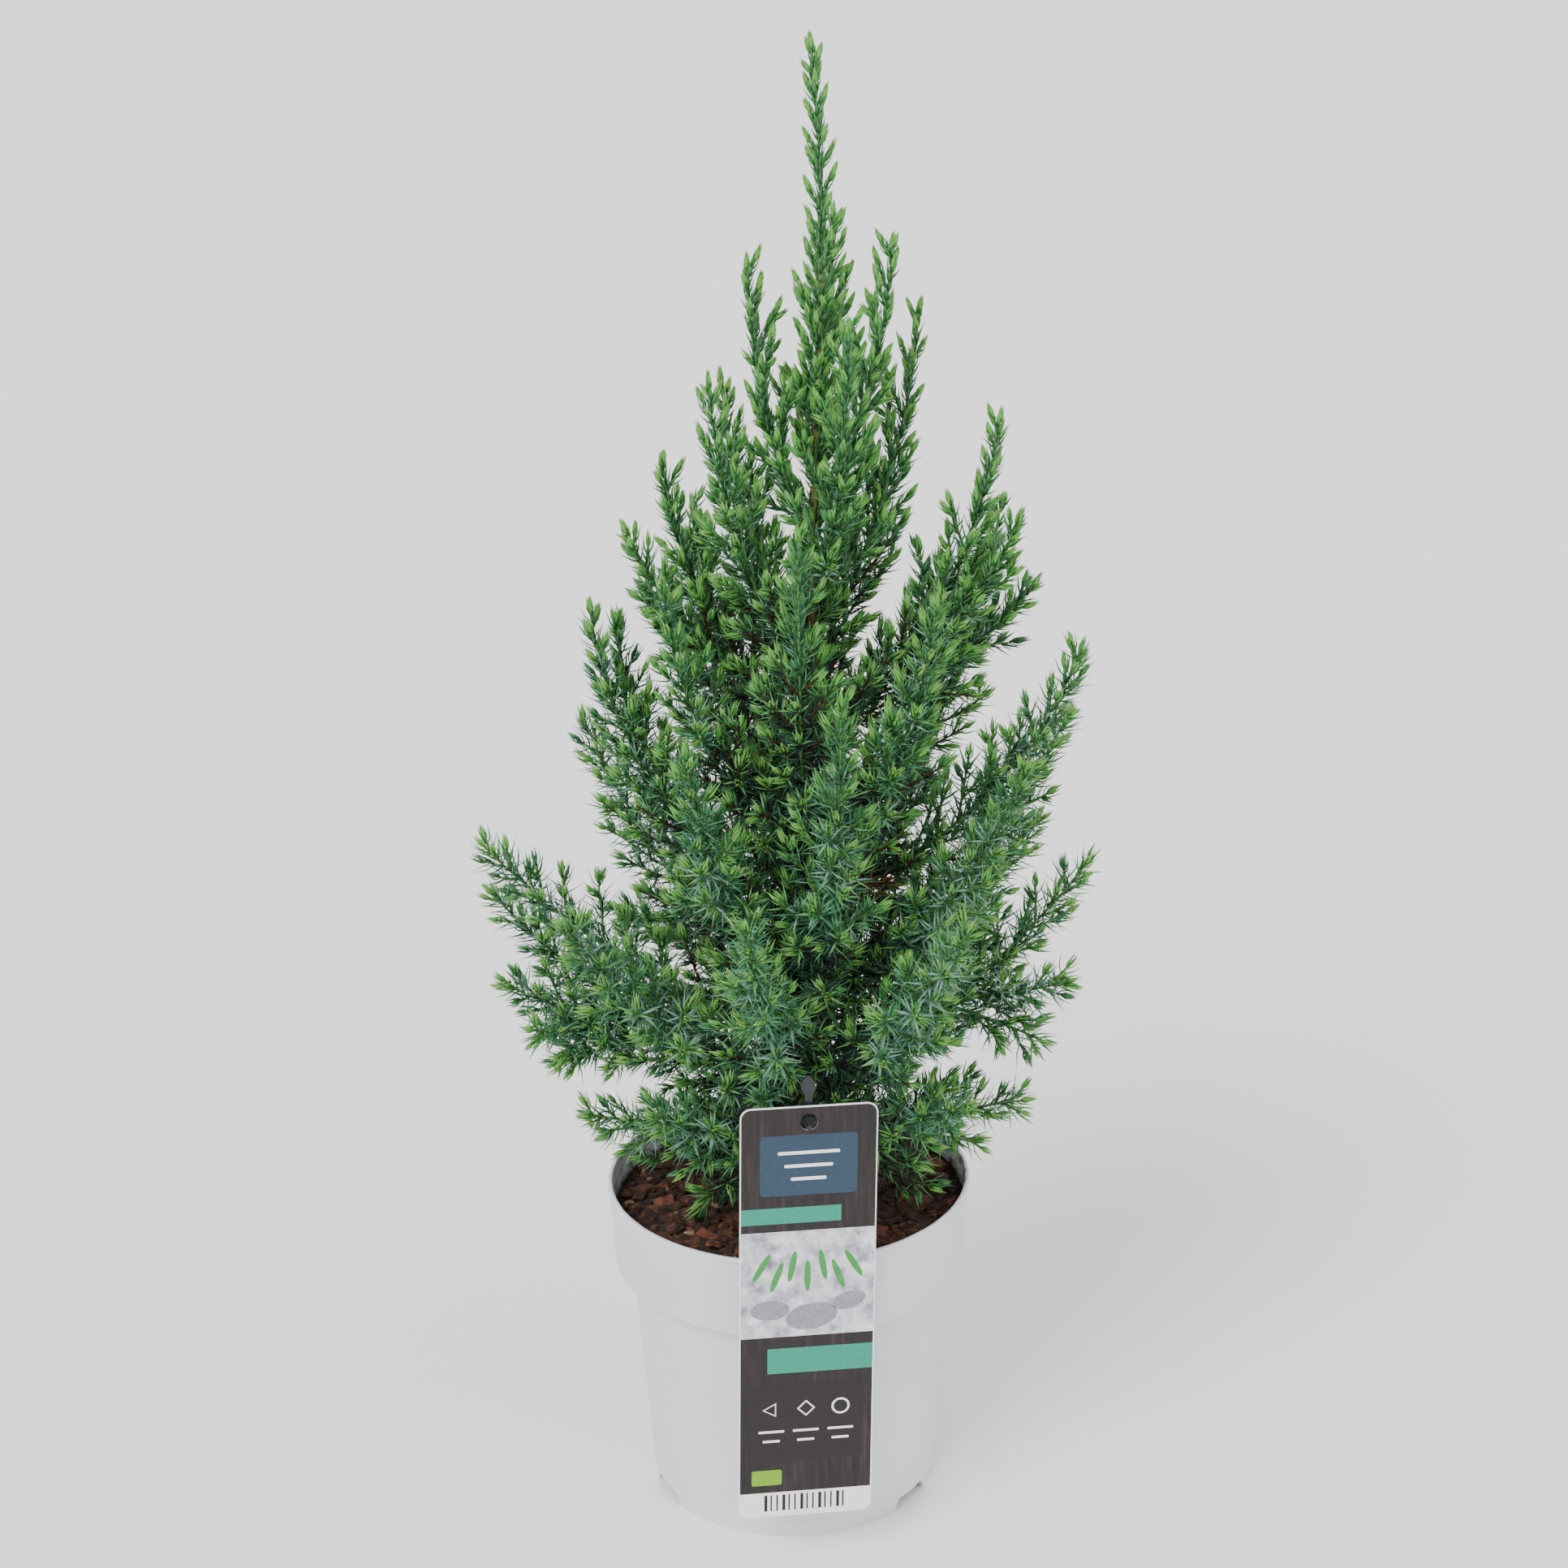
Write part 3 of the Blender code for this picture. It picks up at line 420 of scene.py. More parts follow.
def add_node(tree, kind, inputs=None, stops=(), out=0, to=None, **settings):
    """Adds a shader node with its settings and links, and gives its output.

    An input is a value, a hex colour or another node's output, stops are a ramp's (place, hex colour)
    pairs, and to is the socket that the node feeds.
    """
    node = tree.nodes.new("ShaderNode" + kind)
    for name, value in settings.items():
        setattr(node, name, value)
    for name, value in (inputs or {}).items():
        if isinstance(value, bpy.types.NodeSocket):
            tree.links.new(value, node.inputs[name])
        else:
            node.inputs[name].default_value = linear(value) if isinstance(value, str) else value
    while stops and len(node.color_ramp.elements) < len(stops):
        node.color_ramp.elements.new(0.5)
    for index, (place, colour) in enumerate(stops):
        node.color_ramp.elements[index].position = place
        node.color_ramp.elements[index].color = linear(colour)
    if to is not None:
        tree.links.new(node.outputs[out], to)
    return node.outputs[out]


def start_material(name, roughness, colour="#808080", ior=1.45):
    """A material with its constant values on the shader's own sockets."""
    made = bpy.data.materials.new(name)
    made.use_nodes = True
    shader = made.node_tree.nodes["Principled BSDF"]
    shader.inputs["Base Color"].default_value = linear(colour)
    shader.inputs["Roughness"].default_value = roughness
    shader.inputs["Metallic"].default_value = 0.0
    shader.inputs["IOR"].default_value = ior
    return made, made.node_tree, shader.inputs


def pattern(tree, grain_mm, detail=3.0, stretch=(1, 1, 1)):
    """Noise in object space whose grains measure grain_mm, drawn out along the axes by stretch."""
    place = add_node(tree, "TexCoord", out="Object")
    scale = tuple(1 / MM / grain_mm / along for along in stretch)
    place = add_node(tree, "Mapping", {"Vector": place, "Scale": scale})
    grain = {"Vector": place, "Scale": 1.0, "Detail": detail, "Roughness": 0.6}
    return add_node(tree, "TexNoise", grain)


def patterned(name, roughness, stops, grain, relief=None, depth_mm=0.0, strength=0.0, **start):
    """A material coloured by one grain and embossed by another; each grain is what pattern asks for."""
    made, tree, sockets = start_material(name, roughness, **start)
    grain_value = pattern(tree, *grain)
    add_node(tree, "ValToRGB", {"Fac": grain_value}, stops, to=sockets["Base Color"])
    if relief:
        height = grain_value if relief == grain else pattern(tree, *relief)
        emboss = {"Height": height, "Distance": depth_mm * MM, "Strength": strength}
        add_node(tree, "Bump", emboss, to=sockets["Normal"])
    return made


def container_plastic():
    """Injection-moulded polypropylene: cool pale grey with a soft sheen, faint scuffs and soil dust."""
    made, tree, sockets = start_material("moulded_polypropylene", 0.42, ior=1.49)
    greys = [(0.3, "#CFD3D9"), (0.7, "#DADDE1")]
    base = add_node(tree, "ValToRGB", {"Fac": pattern(tree, 60)}, greys)
    specks = {"Value": pattern(tree, 2.6, 2.0, (1, 1, 1.6)), "From Min": 0.74, "From Max": 0.78}
    specks = add_node(tree, "MapRange", specks)
    scuffed = add_node(tree, "Mix", {0: specks, 6: base, 7: "#8C8E92"}, out=2, data_type="RGBA")
    # Dust clings to the inside of the wall, just above the mix
    place = add_node(tree, "TexCoord", out="Object")
    parts = add_node(tree, "SeparateXYZ", {"Vector": place}).node.outputs
    flat = add_node(tree, "CombineXYZ", {"X": parts["X"], "Y": parts["Y"]})
    radius = add_node(tree, "VectorMath", {0: flat}, out="Value", operation="LENGTH")
    smears = pattern(tree, 9, 4.0, (1, 1, 0.6))
    limits = ((radius, *DUST_RADII), (parts["Z"], *DUST_HEIGHTS), (smears, 0.48, 0.66))
    masks = [
        add_node(tree, "MapRange", {"Value": value, "From Min": start, "From Max": end})
        for value, start, end in limits
    ]
    inner = add_node(tree, "Math", {0: masks[0], 1: masks[1]}, operation="MULTIPLY")
    dirt = add_node(tree, "Math", {0: inner, 1: masks[2]}, operation="MULTIPLY")
    dusty = {0: dirt, 6: scuffed, 7: "#7D7468"}
    add_node(tree, "Mix", dusty, out=2, to=sockets["Base Color"], data_type="RGBA")
    relief = {"Height": pattern(tree, 1.1, 2.0), "Distance": 0.05 * MM, "Strength": 0.25}
    add_node(tree, "Bump", relief, to=sockets["Normal"])
    return made


def bark_chip(name, dark, light):
    """Composted pine bark: matt, cracked along its grain."""
    stops = [(0.35, dark), (0.68, light)]
    return patterned(name, 0.9, stops, (3.0, 5.0, (1, 2.2, 1)), (1.2, 4.0), depth_mm=0.5, strength=0.8)


def peat():
    """Fine moist peat and bark dust between the chips, with a few pale and mossy crumbs."""
    stops = [(0.3, "#120B07"), (0.5, "#2C1A11"), (0.62, "#4A3020"), (0.74, "#7C6A4C")]
    return patterned("moist_peat", 0.95, stops, (4.0, 6.0), (2.0, 5.0), depth_mm=1.2, strength=0.9)


def trunk_bark():
    """Thin peeling bark: red-brown strips low down, tan and then green young bark higher up."""
    made, tree, sockets = start_material("peeling_bark", 0.8)
    strips = pattern(tree, 2.2, 5.0, (1, 1, 7))
    tones = [
        add_node(tree, "ValToRGB", {"Fac": strips}, stops)
        for stops in (
            [(0.32, "#22120C"), (0.52, "#4E2B19"), (0.7, "#7C5233")],
            [(0.35, "#7C6A35"), (0.6, "#8FA055"), (0.75, "#B58A55")],
        )
    ]
    place = add_node(tree, "TexCoord", out="Object")
    height = add_node(tree, "SeparateXYZ", {"Vector": place}, out="Z")
    share = add_node(tree, "MapRange", {"Value": height, "From Min": 0.40, "From Max": 0.54})
    aged = {0: share, 6: tones[0], 7: tones[1]}
    add_node(tree, "Mix", aged, out=2, to=sockets["Base Color"], data_type="RGBA")
    relief = {"Height": strips, "Distance": 0.5 * MM, "Strength": 0.7}
    add_node(tree, "Bump", relief, to=sockets["Normal"])
    return made


def printed_timber():
    """A printed dark timber ground under a clear gloss varnish."""
    stops = [(0.3, "#0D0708"), (0.55, "#22181A"), (0.75, "#3C2C2D")]
    return patterned("varnished_print_timber", 0.3, stops, (2.4, 6.0, (1, 1, 14)))


def printed_stone():
    """A printed pale stone ground under a clear gloss varnish."""
    stops = [(0.28, "#70707C"), (0.46, "#B6B6C0"), (0.7, "#EDEDF0")]
    return patterned("varnished_print_stone", 0.3, stops, (7.0, 6.0))


def print_ink(name, colour, fleck):
    """A flat printed ink with the faint mottle of the sheet below it."""
    return patterned(name, 0.32, [(0.4, colour), (0.7, fleck)], (1.2, 2.0), colour=colour)


def moulded_hook():
    """Moulded anthracite polystyrene with a dull, slightly pebbled skin."""
    stops = [(0.35, "#16181C"), (0.7, "#1F2228")]
    grains = {"grain": (5.0,), "relief": (0.6, 2.0)}
    return patterned("moulded_anthracite", 0.42, stops, **grains, depth_mm=0.05, strength=0.3, ior=1.55)


def rind(name, roughness, dark, light):
    """Thin skin of a young shoot, streaked by leaf scars and its first bark."""
    streaks = (1.4, 3.0, (1, 1, 3))
    stops = [(0.35, dark), (0.68, light)]
    return patterned(name, roughness, stops, streaks, streaks, depth_mm=0.15, strength=0.4)


def needle_wax(name, colour, roughness):
    """Waxy needle skin, one plain colour for each side and tone of needle, the painted-shade tone among
    them.
    """
    return start_material(name, roughness, colour, 1.42)[0]


def activate(obj):
    bpy.ops.object.select_all(action="DESELECT")
    obj.select_set(True)
    bpy.context.view_layer.objects.active = obj


def apply_all(obj):
    activate(obj)
    for modifier in list(obj.modifiers):
        bpy.ops.object.modifier_apply(modifier=modifier.name)
    return obj


def settle(obj, material, slot, *replaced):
    """Places a finished piece at the origin, dresses it and lets it ride on the plant."""
    obj.data.transform(obj.matrix_world)
    obj.matrix_world = Matrix.Identity(4)
    if material:
        obj.data.materials.clear()
        obj.data.materials.append(material)
    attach(obj, "root")
    if replaced:
        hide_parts(*replaced)
    return obj


def object_from(mesh):
    obj = bpy.data.objects.new(mesh.name, mesh)
    bpy.context.scene.collection.objects.link(obj)
    return obj


def mesh_from(name, verts, faces, edges=()):
    mesh = bpy.data.meshes.new(name)
    mesh.from_pydata(verts, edges, faces)
    return object_from(mesh)


def turned(name, profile, steps):
    """A closed turned piece from (radius, height) points, from the axis round to the axis again."""
    points = [(radius, 0.0, height) for radius, height in profile]
    obj = mesh_from(name, points, (), [(i, i + 1) for i in range(len(points) - 1)])
    screw = obj.modifiers.new("Screw", "SCREW")
    screw.steps = screw.render_steps = steps
    screw.use_merge_vertices = True
    screw.merge_threshold = 1e-6
    return apply_all(obj)


def cut(obj, cutter):
    modifier = obj.modifiers.new("Cut", "BOOLEAN")
    modifier.operation = "DIFFERENCE"
    modifier.solver = "EXACT"
    modifier.object = cutter
    apply_all(obj)
    bpy.data.objects.remove(cutter, do_unlink=True)


def pot_profile():
    """The container's section, as a radius and a height, each with its offset in mm."""
    inner_foot = FOOT_RADIUS - POT_WALL
    inner_rim = RIM_RADIUS - POT_WALL
    crease_radius = FOOT_RADIUS + (BODY_TOP_RADIUS - FOOT_RADIUS) * CREASE_Z / COLLAR_Z
    lip_top = POT_HEIGHT - LIP_EASE
    lip_drop = LIP_HEIGHT - LIP_EASE
    lip = [
        (RIM_RADIUS + LIP_PROUD * math.sin(math.pi * share), 0, lip_top - lip_drop * share, 0)
        for share in LIP_SHARES
    ]
    rows = [
        (0.0, 0, FLOOR_TOP, 0),
        (inner_foot, -2, FLOOR_TOP, 0),
        (inner_foot, 0.5, FLOOR_TOP, 2),
        (BODY_TOP_RADIUS - POT_WALL, 0, COLLAR_Z, 0.4),
        (COLLAR_FOOT_RADIUS - POT_WALL, 0, COLLAR_Z + POT_WALL, 0),
        (inner_rim, 0, POT_HEIGHT, -0.3),
        (inner_rim, 0.3, POT_HEIGHT, 0),
        (RIM_RADIUS, -0.3, POT_HEIGHT, 0),
        *lip,
        (COLLAR_FOOT_RADIUS, 0.1, COLLAR_Z, 1.2),
        (COLLAR_FOOT_RADIUS, -0.5, COLLAR_Z, 0),
        (BODY_TOP_RADIUS, 0.8, COLLAR_Z, -0.6),
        (BODY_TOP_RADIUS, 0.3, COLLAR_Z, -3.4),
        (BODY_TOP_RADIUS, -0.25, COLLAR_Z, -4.0),
        (crease_radius, 0.1, CREASE_Z, 0.5),
        (crease_radius, -0.25, CREASE_Z, 0),
        (crease_radius, 0, CREASE_Z, -0.5),
        (FOOT_RADIUS, 0.05, 0.0, 0.5),
        (FOOT_RADIUS, -0.3, 0.0, 0),
        (FOOT_RADIUS - FOOT_WIDTH, 0, 0.0, 0),
        (FOOT_RADIUS - FOOT_WIDTH, -0.3, FLOOR_HEIGHT, 0),
        (0.0, 0, FLOOR_HEIGHT, 0),
    ]
    return [(radius + out * MM, height + up * MM) for radius, out, height, up in rows]


def make_pot():
    pot = turned("container", pot_profile(), POT_STEPS)
    notch_width = FOOT_RADIUS * math.radians(NOTCH_ANGLE)
    for centre in NOTCH_CENTRES:
        bpy.ops.mesh.primitive_cube_add(size=1.0)
        cutter = bpy.context.object
        for vert in cutter.data.vertices:
            top = vert.co.z > 0
            wide = notch_width * (NOTCH_TOP_SHARE if top else 1.0)
            height = NOTCH_HEIGHT if top else -2 * MM
            vert.co = (FOOT_RADIUS - 1 * MM + vert.co.x * NOTCH_DEPTH, vert.co.y * wide, height)
        cutter.data.transform(Matrix.Rotation(math.radians(centre), 4, "Z"))
        cut(pot, cutter)
    for index in range(DRAIN_HOLES):
        angle = math.radians(NOTCH_CENTRES[0]) + index * math.tau / DRAIN_HOLES
        place = (DRAIN_CIRCLE * math.cos(angle), DRAIN_CIRCLE * math.sin(angle), FLOOR_HEIGHT)
        bpy.ops.mesh.primitive_cylinder_add(
            vertices=DRAIN_SIDES, radius=DRAIN_RADIUS, depth=CUT_DEPTH, location=place
        )
        cut(pot, bpy.context.object)
    activate(pot)
    bpy.ops.object.shade_smooth_by_angle(angle=POT_SMOOTH)
    settle(pot, container_plastic(), "container", "pot")


def soil_height(x, y):
    """The top of the bed, lumpy and a little higher to the right."""
    lumps = sum(noise.noise(Vector((x, y, level)) * scale) * tall for scale, tall, level in LUMPS)
    return SOIL_Z + (lumps + SOIL_SLOPE_MM * x / SOIL_RADIUS) * MM


def make_soil_bed():
    profile = [(SOIL_RADIUS * index / SOIL_RINGS, SOIL_Z) for index in range(SOIL_RINGS + 1)]
    profile += [
        (SOIL_RADIUS - SOIL_GAP, COLLAR_Z + 3 * MM),
        (BODY_TOP_RADIUS - POT_WALL - SOIL_GAP, COLLAR_Z),
        (FOOT_RADIUS - POT_WALL - 1.5 * MM, FLOOR_TOP + 2.5 * MM),
        (0.0, FLOOR_TOP + 2.5 * MM),
    ]
    soil = turned("potting_mix", profile, SOIL_STEPS)
    for vert in soil.data.vertices:
        if vert.co.z > SOIL_Z - SOIL_GAP:
            vert.co.z = soil_height(vert.co.x, vert.co.y)
    soil.data.shade_smooth()
    settle(soil, peat(), "soil", "soil")


def chip_corners(rng, x, y, size):
    """The eight corners of one ragged chip that lies tilted in the bed."""
    turn = Matrix.Rotation(rng.uniform(0, math.tau), 3, "Z")
    for axis in "XY":
        turn = turn @ Matrix.Rotation(rng.gauss(0, CHIP_TILT), 3, axis)
    centre = Vector((x, y, soil_height(x, y) + size.z * rng.uniform(*CHIP_LIFT)))
    corners = []
    for corner in range(8):
        unit = Vector(((corner >> 2 & 1) - 0.5, (corner >> 1 & 1) - 0.5, (corner & 1) - 0.5))
        ragged = Vector([rng.uniform(*CHIP_RAGGED) for _ in range(3)])
        corners.append(tuple(centre + turn @ Vector([unit[i] * size[i] * ragged[i] for i in range(3)])))
    return corners


def make_chips(rng):
    verts = [[] for _ in CHIP_KINDS]
    faces = [[] for _ in CHIP_KINDS]
    for _ in range(CHIPS):
        radius = (SOIL_RADIUS - CHIP_WALL_ROOM) * math.sqrt(rng.random())
        angle = rng.uniform(0, math.tau)
        x, y = radius * math.cos(angle), radius * math.sin(angle)
        draw = rng.random()
        kind = next(index for index, row in enumerate(CHIP_KINDS) if draw <= row[3])
        long = rng.uniform(*CHIP_LONG_MM) * MM * (PALE_SIZE if kind == PALE_KIND else 1.0)
        size = Vector((long, long * rng.uniform(*CHIP_WIDE), rng.uniform(*CHIP_THICK_MM) * MM))
        in_wall = radius + long * CHIP_REACH > SOIL_RADIUS
        if in_wall or math.hypot(x - TRUNK_FOOT_X, y) < CHIP_TRUNK_ROOM + long / 2:
            continue
        first = len(verts[kind])
        verts[kind] += chip_corners(rng, x, y, size)
        faces[kind] += [tuple(first + index for index in face) for face in BOX_FACES]
    for index, (name, dark, light, _) in enumerate(CHIP_KINDS):
        chips = mesh_from(f"bark_chips_{name}", verts[index], faces[index])
        bevel = chips.modifiers.new("Wear", "BEVEL")
        bevel.width = CHIP_WEAR
        bevel.segments = 1
        bevel.limit_method = "NONE"
        settle(apply_all(chips), bark_chip(name, dark, light), "soil")


def trunk_axis(height):
    """The trunk's centre at a height above the soil."""
    share = height / PLANT_HEIGHT
    nod = max(0.0, (height - NOD_START) / NOD_LENGTH)
    x = TRUNK_FOOT_X + TRUNK_LEAN * height - TIP_NOD * nod * nod
    return np.array((x, TRUNK_SWAY * math.sin(math.tau * share), SOIL_Z + height))


def trunk_radius(height):
    share = min(1.0, height / TRUNK_TOP)
    flare = FLARE_RADIUS * math.exp(-height / (FLARE_FALL * FLARE_HEIGHT))
    return TRUNK_FOOT_RADIUS + (TRUNK_TOP_RADIUS - TRUNK_FOOT_RADIUS) * share**TRUNK_TAPER + flare


def outward(azimuth):
    """The level direction of an azimuth in degrees."""
    return math.cos(math.radians(azimuth)), math.sin(math.radians(azimuth)), 0.0


def limb_path(azimuth, start, reach, tip, bend):
    """An arc from the trunk's axis to the tip, bent up by the same angle on both sides of its chord."""
    root = Vector(trunk_axis(start * MM))
    out = Vector(outward(azimuth))
    end = Vector((trunk_axis(tip * MM)[0], 0.0, SOIL_Z + tip * MM)) + out * reach * MM
    chord = end - root
    side = chord.cross(Vector((0, 0, 1))).normalized()
    leave = Matrix.Rotation(-math.radians(bend), 3, side) @ chord
    arrive = Matrix.Rotation(math.radians(bend), 3, side) @ chord
    path = []
    for index in range(LIMB_POINTS):
        t = index / (LIMB_POINTS - 1)
        a, b = 2 * t**3 - 3 * t**2 + 1, t**3 - 2 * t**2 + t
        c, d = -2 * t**3 + 3 * t**2, t**3 - t**2
        path.append(root * a + leave * b + end * c + arrive * d)
    return np.array(path)


def spur_path(parent, share, azimuth, reach, tip):
    """A side shoot that leaves its parent low, runs outwards and then turns up to its tip."""
    root = parent[round(share * (len(parent) - 1))]
    end = trunk_axis(tip * MM) * (1, 0, 1) + np.array(outward(azimuth)) * reach * MM
    middle = root * (1 - SPUR_KNEE) + end * SPUR_KNEE
    shares = np.linspace(0, 1, SPUR_POINTS)[:, None]
    return root * (1 - shares) ** 2 + middle * 2 * shares * (1 - shares) + end * shares**2


def lengths_along(path):
    return np.concatenate([[0.0], np.cumsum(np.linalg.norm(np.diff(path, axis=0), axis=1))])


def at_lengths(path, stops):
    """Points and directions at several lengths along a path."""
    totals = lengths_along(path)
    stops = np.clip(stops, 0.0, totals[-1])
    points = np.stack([np.interp(stops, totals, path[:, axis]) for axis in range(3)], axis=1)
    spans = np.clip(np.searchsorted(totals, stops, side="right") - 1, 0, len(path) - 2)
    steps = path[spans + 1] - path[spans]
    return points, steps / np.linalg.norm(steps, axis=1)[:, None]


def rows_cross(directions):
    """Two unit vectors square to each direction."""
    guide = np.where(np.abs(directions[:, 2:3]) < 0.9, [[0.0, 0.0, 1.0]], [[1.0, 0.0, 0.0]])
    first = np.cross(directions, guide)
    first /= np.linalg.norm(first, axis=1)[:, None]
    return first, np.cross(directions, first)


class Tubes:
    """Many tapering tubes gathered for one mesh."""

    def __init__(self):
        self.verts, self.faces, self.count = [], [], 0

    def add(self, path, radii, sides, relief=0.0):
        steps = np.gradient(path, axis=0)
        steps /= np.linalg.norm(steps, axis=1)[:, None]
        first, second = rows_cross(steps)
        angles = (np.arange(sides) * math.tau / sides)[None, :, None]
        across = first[:, None] * np.cos(angles) + second[:, None] * np.sin(angles)
        widths = np.asarray(radii)[:, None] * np.ones(sides)[None] + relief
        rings = path[:, None] + across * widths[..., None]
        index = self.count + np.arange(len(path) * sides).reshape(-1, sides)
        after = np.roll(index, -1, axis=1)
        quads = np.stack([index[:-1], after[:-1], after[1:], index[1:]], axis=-1).reshape(-1, 4)
        self.verts.append(rings.reshape(-1, 3))
        self.faces += quads.tolist()
        self.faces += [index[0][::-1].tolist(), index[-1].tolist()]
        self.count += index.size

    def finish(self, name, material, slot, *replaced):
        obj = mesh_from(name, np.concatenate(self.verts).tolist(), self.faces)
        obj.data.shade_smooth()
        return settle(obj, material, slot, *replaced)


def bark_relief(path, sides, depth, seed):
    """Long shallow strips, as bark peels: a noise drawn out along the limb."""
    relief = np.zeros((len(path), sides))
    for row, length in enumerate(lengths_along(path)):
        for side in range(sides):
            angle = side * math.tau / sides
            round_x, round_y = math.cos(angle) * STRIPS_ROUND, math.sin(angle) * STRIPS_ROUND
            place = Vector((round_x, round_y, length * STRIPS_ALONG + seed))
            strip = abs(noise.noise(place)) * STRIP_HEIGHT - STRIP_LEVEL
            relief[row, side] = depth * (strip + FINE_HEIGHT * noise.noise(place * FINE_SCALE))
    return relief


def make_trunk_and_boughs(paths, bark):
    flare = np.linspace(0, FLARE_TOP, FLARE_ROWS)[:-1]
    heights = np.concatenate([flare, np.linspace(FLARE_TOP, TRUNK_TOP, TRUNK_ROWS)])
    path = np.array([trunk_axis(height) for height in heights])
    radii = np.array([trunk_radius(height) for height in heights])
    depths = (TRUNK_RELIEF + TRUNK_RELIEF_SHARE * radii)[:, None]
    trunk = Tubes()
    trunk.add(path, radii, TRUNK_SIDES, bark_relief(path, TRUNK_SIDES, 1.0, 0.0) * depths)
    trunk.finish("trunk_bark", bark, "bark", "trunk")
    limbs = Tubes()
    for index, name in enumerate(BOUGHS):
        bare = lengths_along(paths[name])[-1] * BARE_SHARE
        points, _ = at_lengths(paths[name], np.linspace(0, bare, BOUGH_ROWS))
        radii = np.linspace(BOUGH_FOOT_RADIUS, BOUGH_TIP_RADIUS, len(points))
        relief = bark_relief(points, BOUGH_SIDES, BOUGH_RELIEF, BOUGH_SEED_STEP * index)
        limbs.add(points, radii, BOUGH_SIDES, relief)
    limbs.finish("bough_bark", bark, "bark", *[f"bough_{name}" for name in BOUGHS])


class Foliage:
    """Shoots and their needles, gathered by tone of needle, painted shade among the tones."""

    def __init__(self, rng, paths):
        self.rng = rng
        self.needles = [[] for _ in TONES]
        self.green, self.brown = Tubes(), Tubes()
        self.paths = paths

    def whorls(self, path, tone, bare):
        """Whorls of three needles along a shoot, closing up to a bud at its tip."""
        total = lengths_along(path)[-1]
        stops = [FIRST_WHORL]
        while stops[-1] < total - LAST_WHORL:
            step = BUD_STEP if total - stops[-1] < BUD_CROWDED * BUD_LENGTH else WHORL_STEP
            stops.append(stops[-1] + step * self.rng.uniform(*STEP_SPREAD))
        stops = np.array(stops[:-1])
        stops = stops[stops >= bare]
        if not len(stops):
            return
        points, forward = at_lengths(path, stops)
        first, second = rows_cross(forward)
        left = total - stops
        high = np.clip((points[:, 2] - SOIL_Z) / PLANT_HEIGHT, 0, 1)
        closing = np.clip((left - LAST_WHORL) / (BUD_CLOSING * BUD_LENGTH), 0, 1)
        upper = np.clip((high - HIGH_FROM) / HIGH_SPAN, 0, 1)
        wide = np.radians(LOW_SPREAD - (LOW_SPREAD - HIGH_SPREAD) * upper)
        spread = BUD_SPREAD + (wide - BUD_SPREAD) * closing**CLOSING_POWER
        lengths = np.minimum((LOW_LENGTH - HIGH_SHORTER * upper) * MM, left + PAST_TIP)
        widths = (NEEDLE_WIDTH + BUD_WIDER * (1 - closing) + HIGH_WIDER * upper) * MM
        light = total > LIGHT_TWIG or self.rng.random() < LIGHT_CHANCE + float(high.mean())
        buds_left = left / (BUD_LENGTH if light else DULL_BUD * BUD_LENGTH)
        turn = self.rng.uniform(0, math.tau)
        for arm in range(3):
            angle = turn + arm * math.tau / 3 + np.arange(len(stops)) * math.pi / 3
            angle = angle + np.array([self.rng.gauss(0, TURN_JITTER) for _ in stops])
            lean = spread + np.array([self.rng.gauss(0, LEAN_JITTER) for _ in stops]) * closing
            out = first * np.cos(angle)[:, None] + second * np.sin(angle)[:, None]
            way = out * np.sin(lean)[:, None] + forward * np.cos(lean)[:, None]
            inward = forward * np.sin(lean)[:, None] - out * np.cos(lean)[:, None]
            grown = lengths * np.array([self.rng.uniform(*LENGTH_JITTER) for _ in stops])
            curl = np.minimum(CURL + BUD_CURL * (1 - closing), CURL_MOST * np.tan(lean))
            self.store(points + out * NEEDLE_ROOT, way, inward, grown, widths, curl, buds_left, tone)

    def store(self, points, way, inward, lengths, widths, curl, buds_left, tone):
        """Keeled needles, three-sided at root and knee, whose tips curl in along the shoot."""
        across = np.cross(way, inward)
        half = (widths / 2)[:, None]
        knee = points + way * (lengths * KNEE_SHARE)[:, None]
        tip = points + way * lengths[:, None] + inward * (lengths * curl)[:, None]
        corners = [
            points - across * half * ROOT_WIDTH,
            points - inward * half * ROOT_KEEL,
            points + across * half * ROOT_WIDTH,
            knee - across * half,
            knee - inward * half * KNEE_KEEL,
            knee + across * half,
            tip,
        ]
        block = np.stack(corners, axis=1)
        # Tone of each needle, which may be the painted-shade tone
        needle_tones = np.full(len(points), tone)
        if tone != DEAD:
            high = (points[:, 2] - SOIL_Z) / PLANT_HEIGHT
            young = np.array([self.rng.random() for _ in points]) < (high - YOUNG_FROM) / YOUNG_SPAN
            needle_tones[young] = YOUNG
            needle_tones[buds_left < FRESH_REACH] = FRESH
            needle_tones[buds_left < BUD_REACH] = BUD
        for needle_tone in set(needle_tones.tolist()):
            self.needles[needle_tone].append(block[needle_tones == needle_tone])

    def shoot(self, path, radius, tone, bare=0.0):
        """One shoot: its axis, and the whorls along it."""
        total = lengths_along(path)[-1]
        rings = max(TWIG_FEWEST_RINGS, int(total / TWIG_RING_STEP) + 2)
        points, _ = at_lengths(path, np.linspace(0, total - TWIG_SHORT_OF_BUD, rings))
        radii = np.linspace(radius, TWIG_TIP_RADIUS, len(points))
        # Twigs of dead needles and of painted shade take the dark brown rind
        (self.brown if tone in (DEAD, PAINTED_SHADE) else self.green).add(points, radii, TWIG_SIDES)
        self.whorls(path, tone, bare)

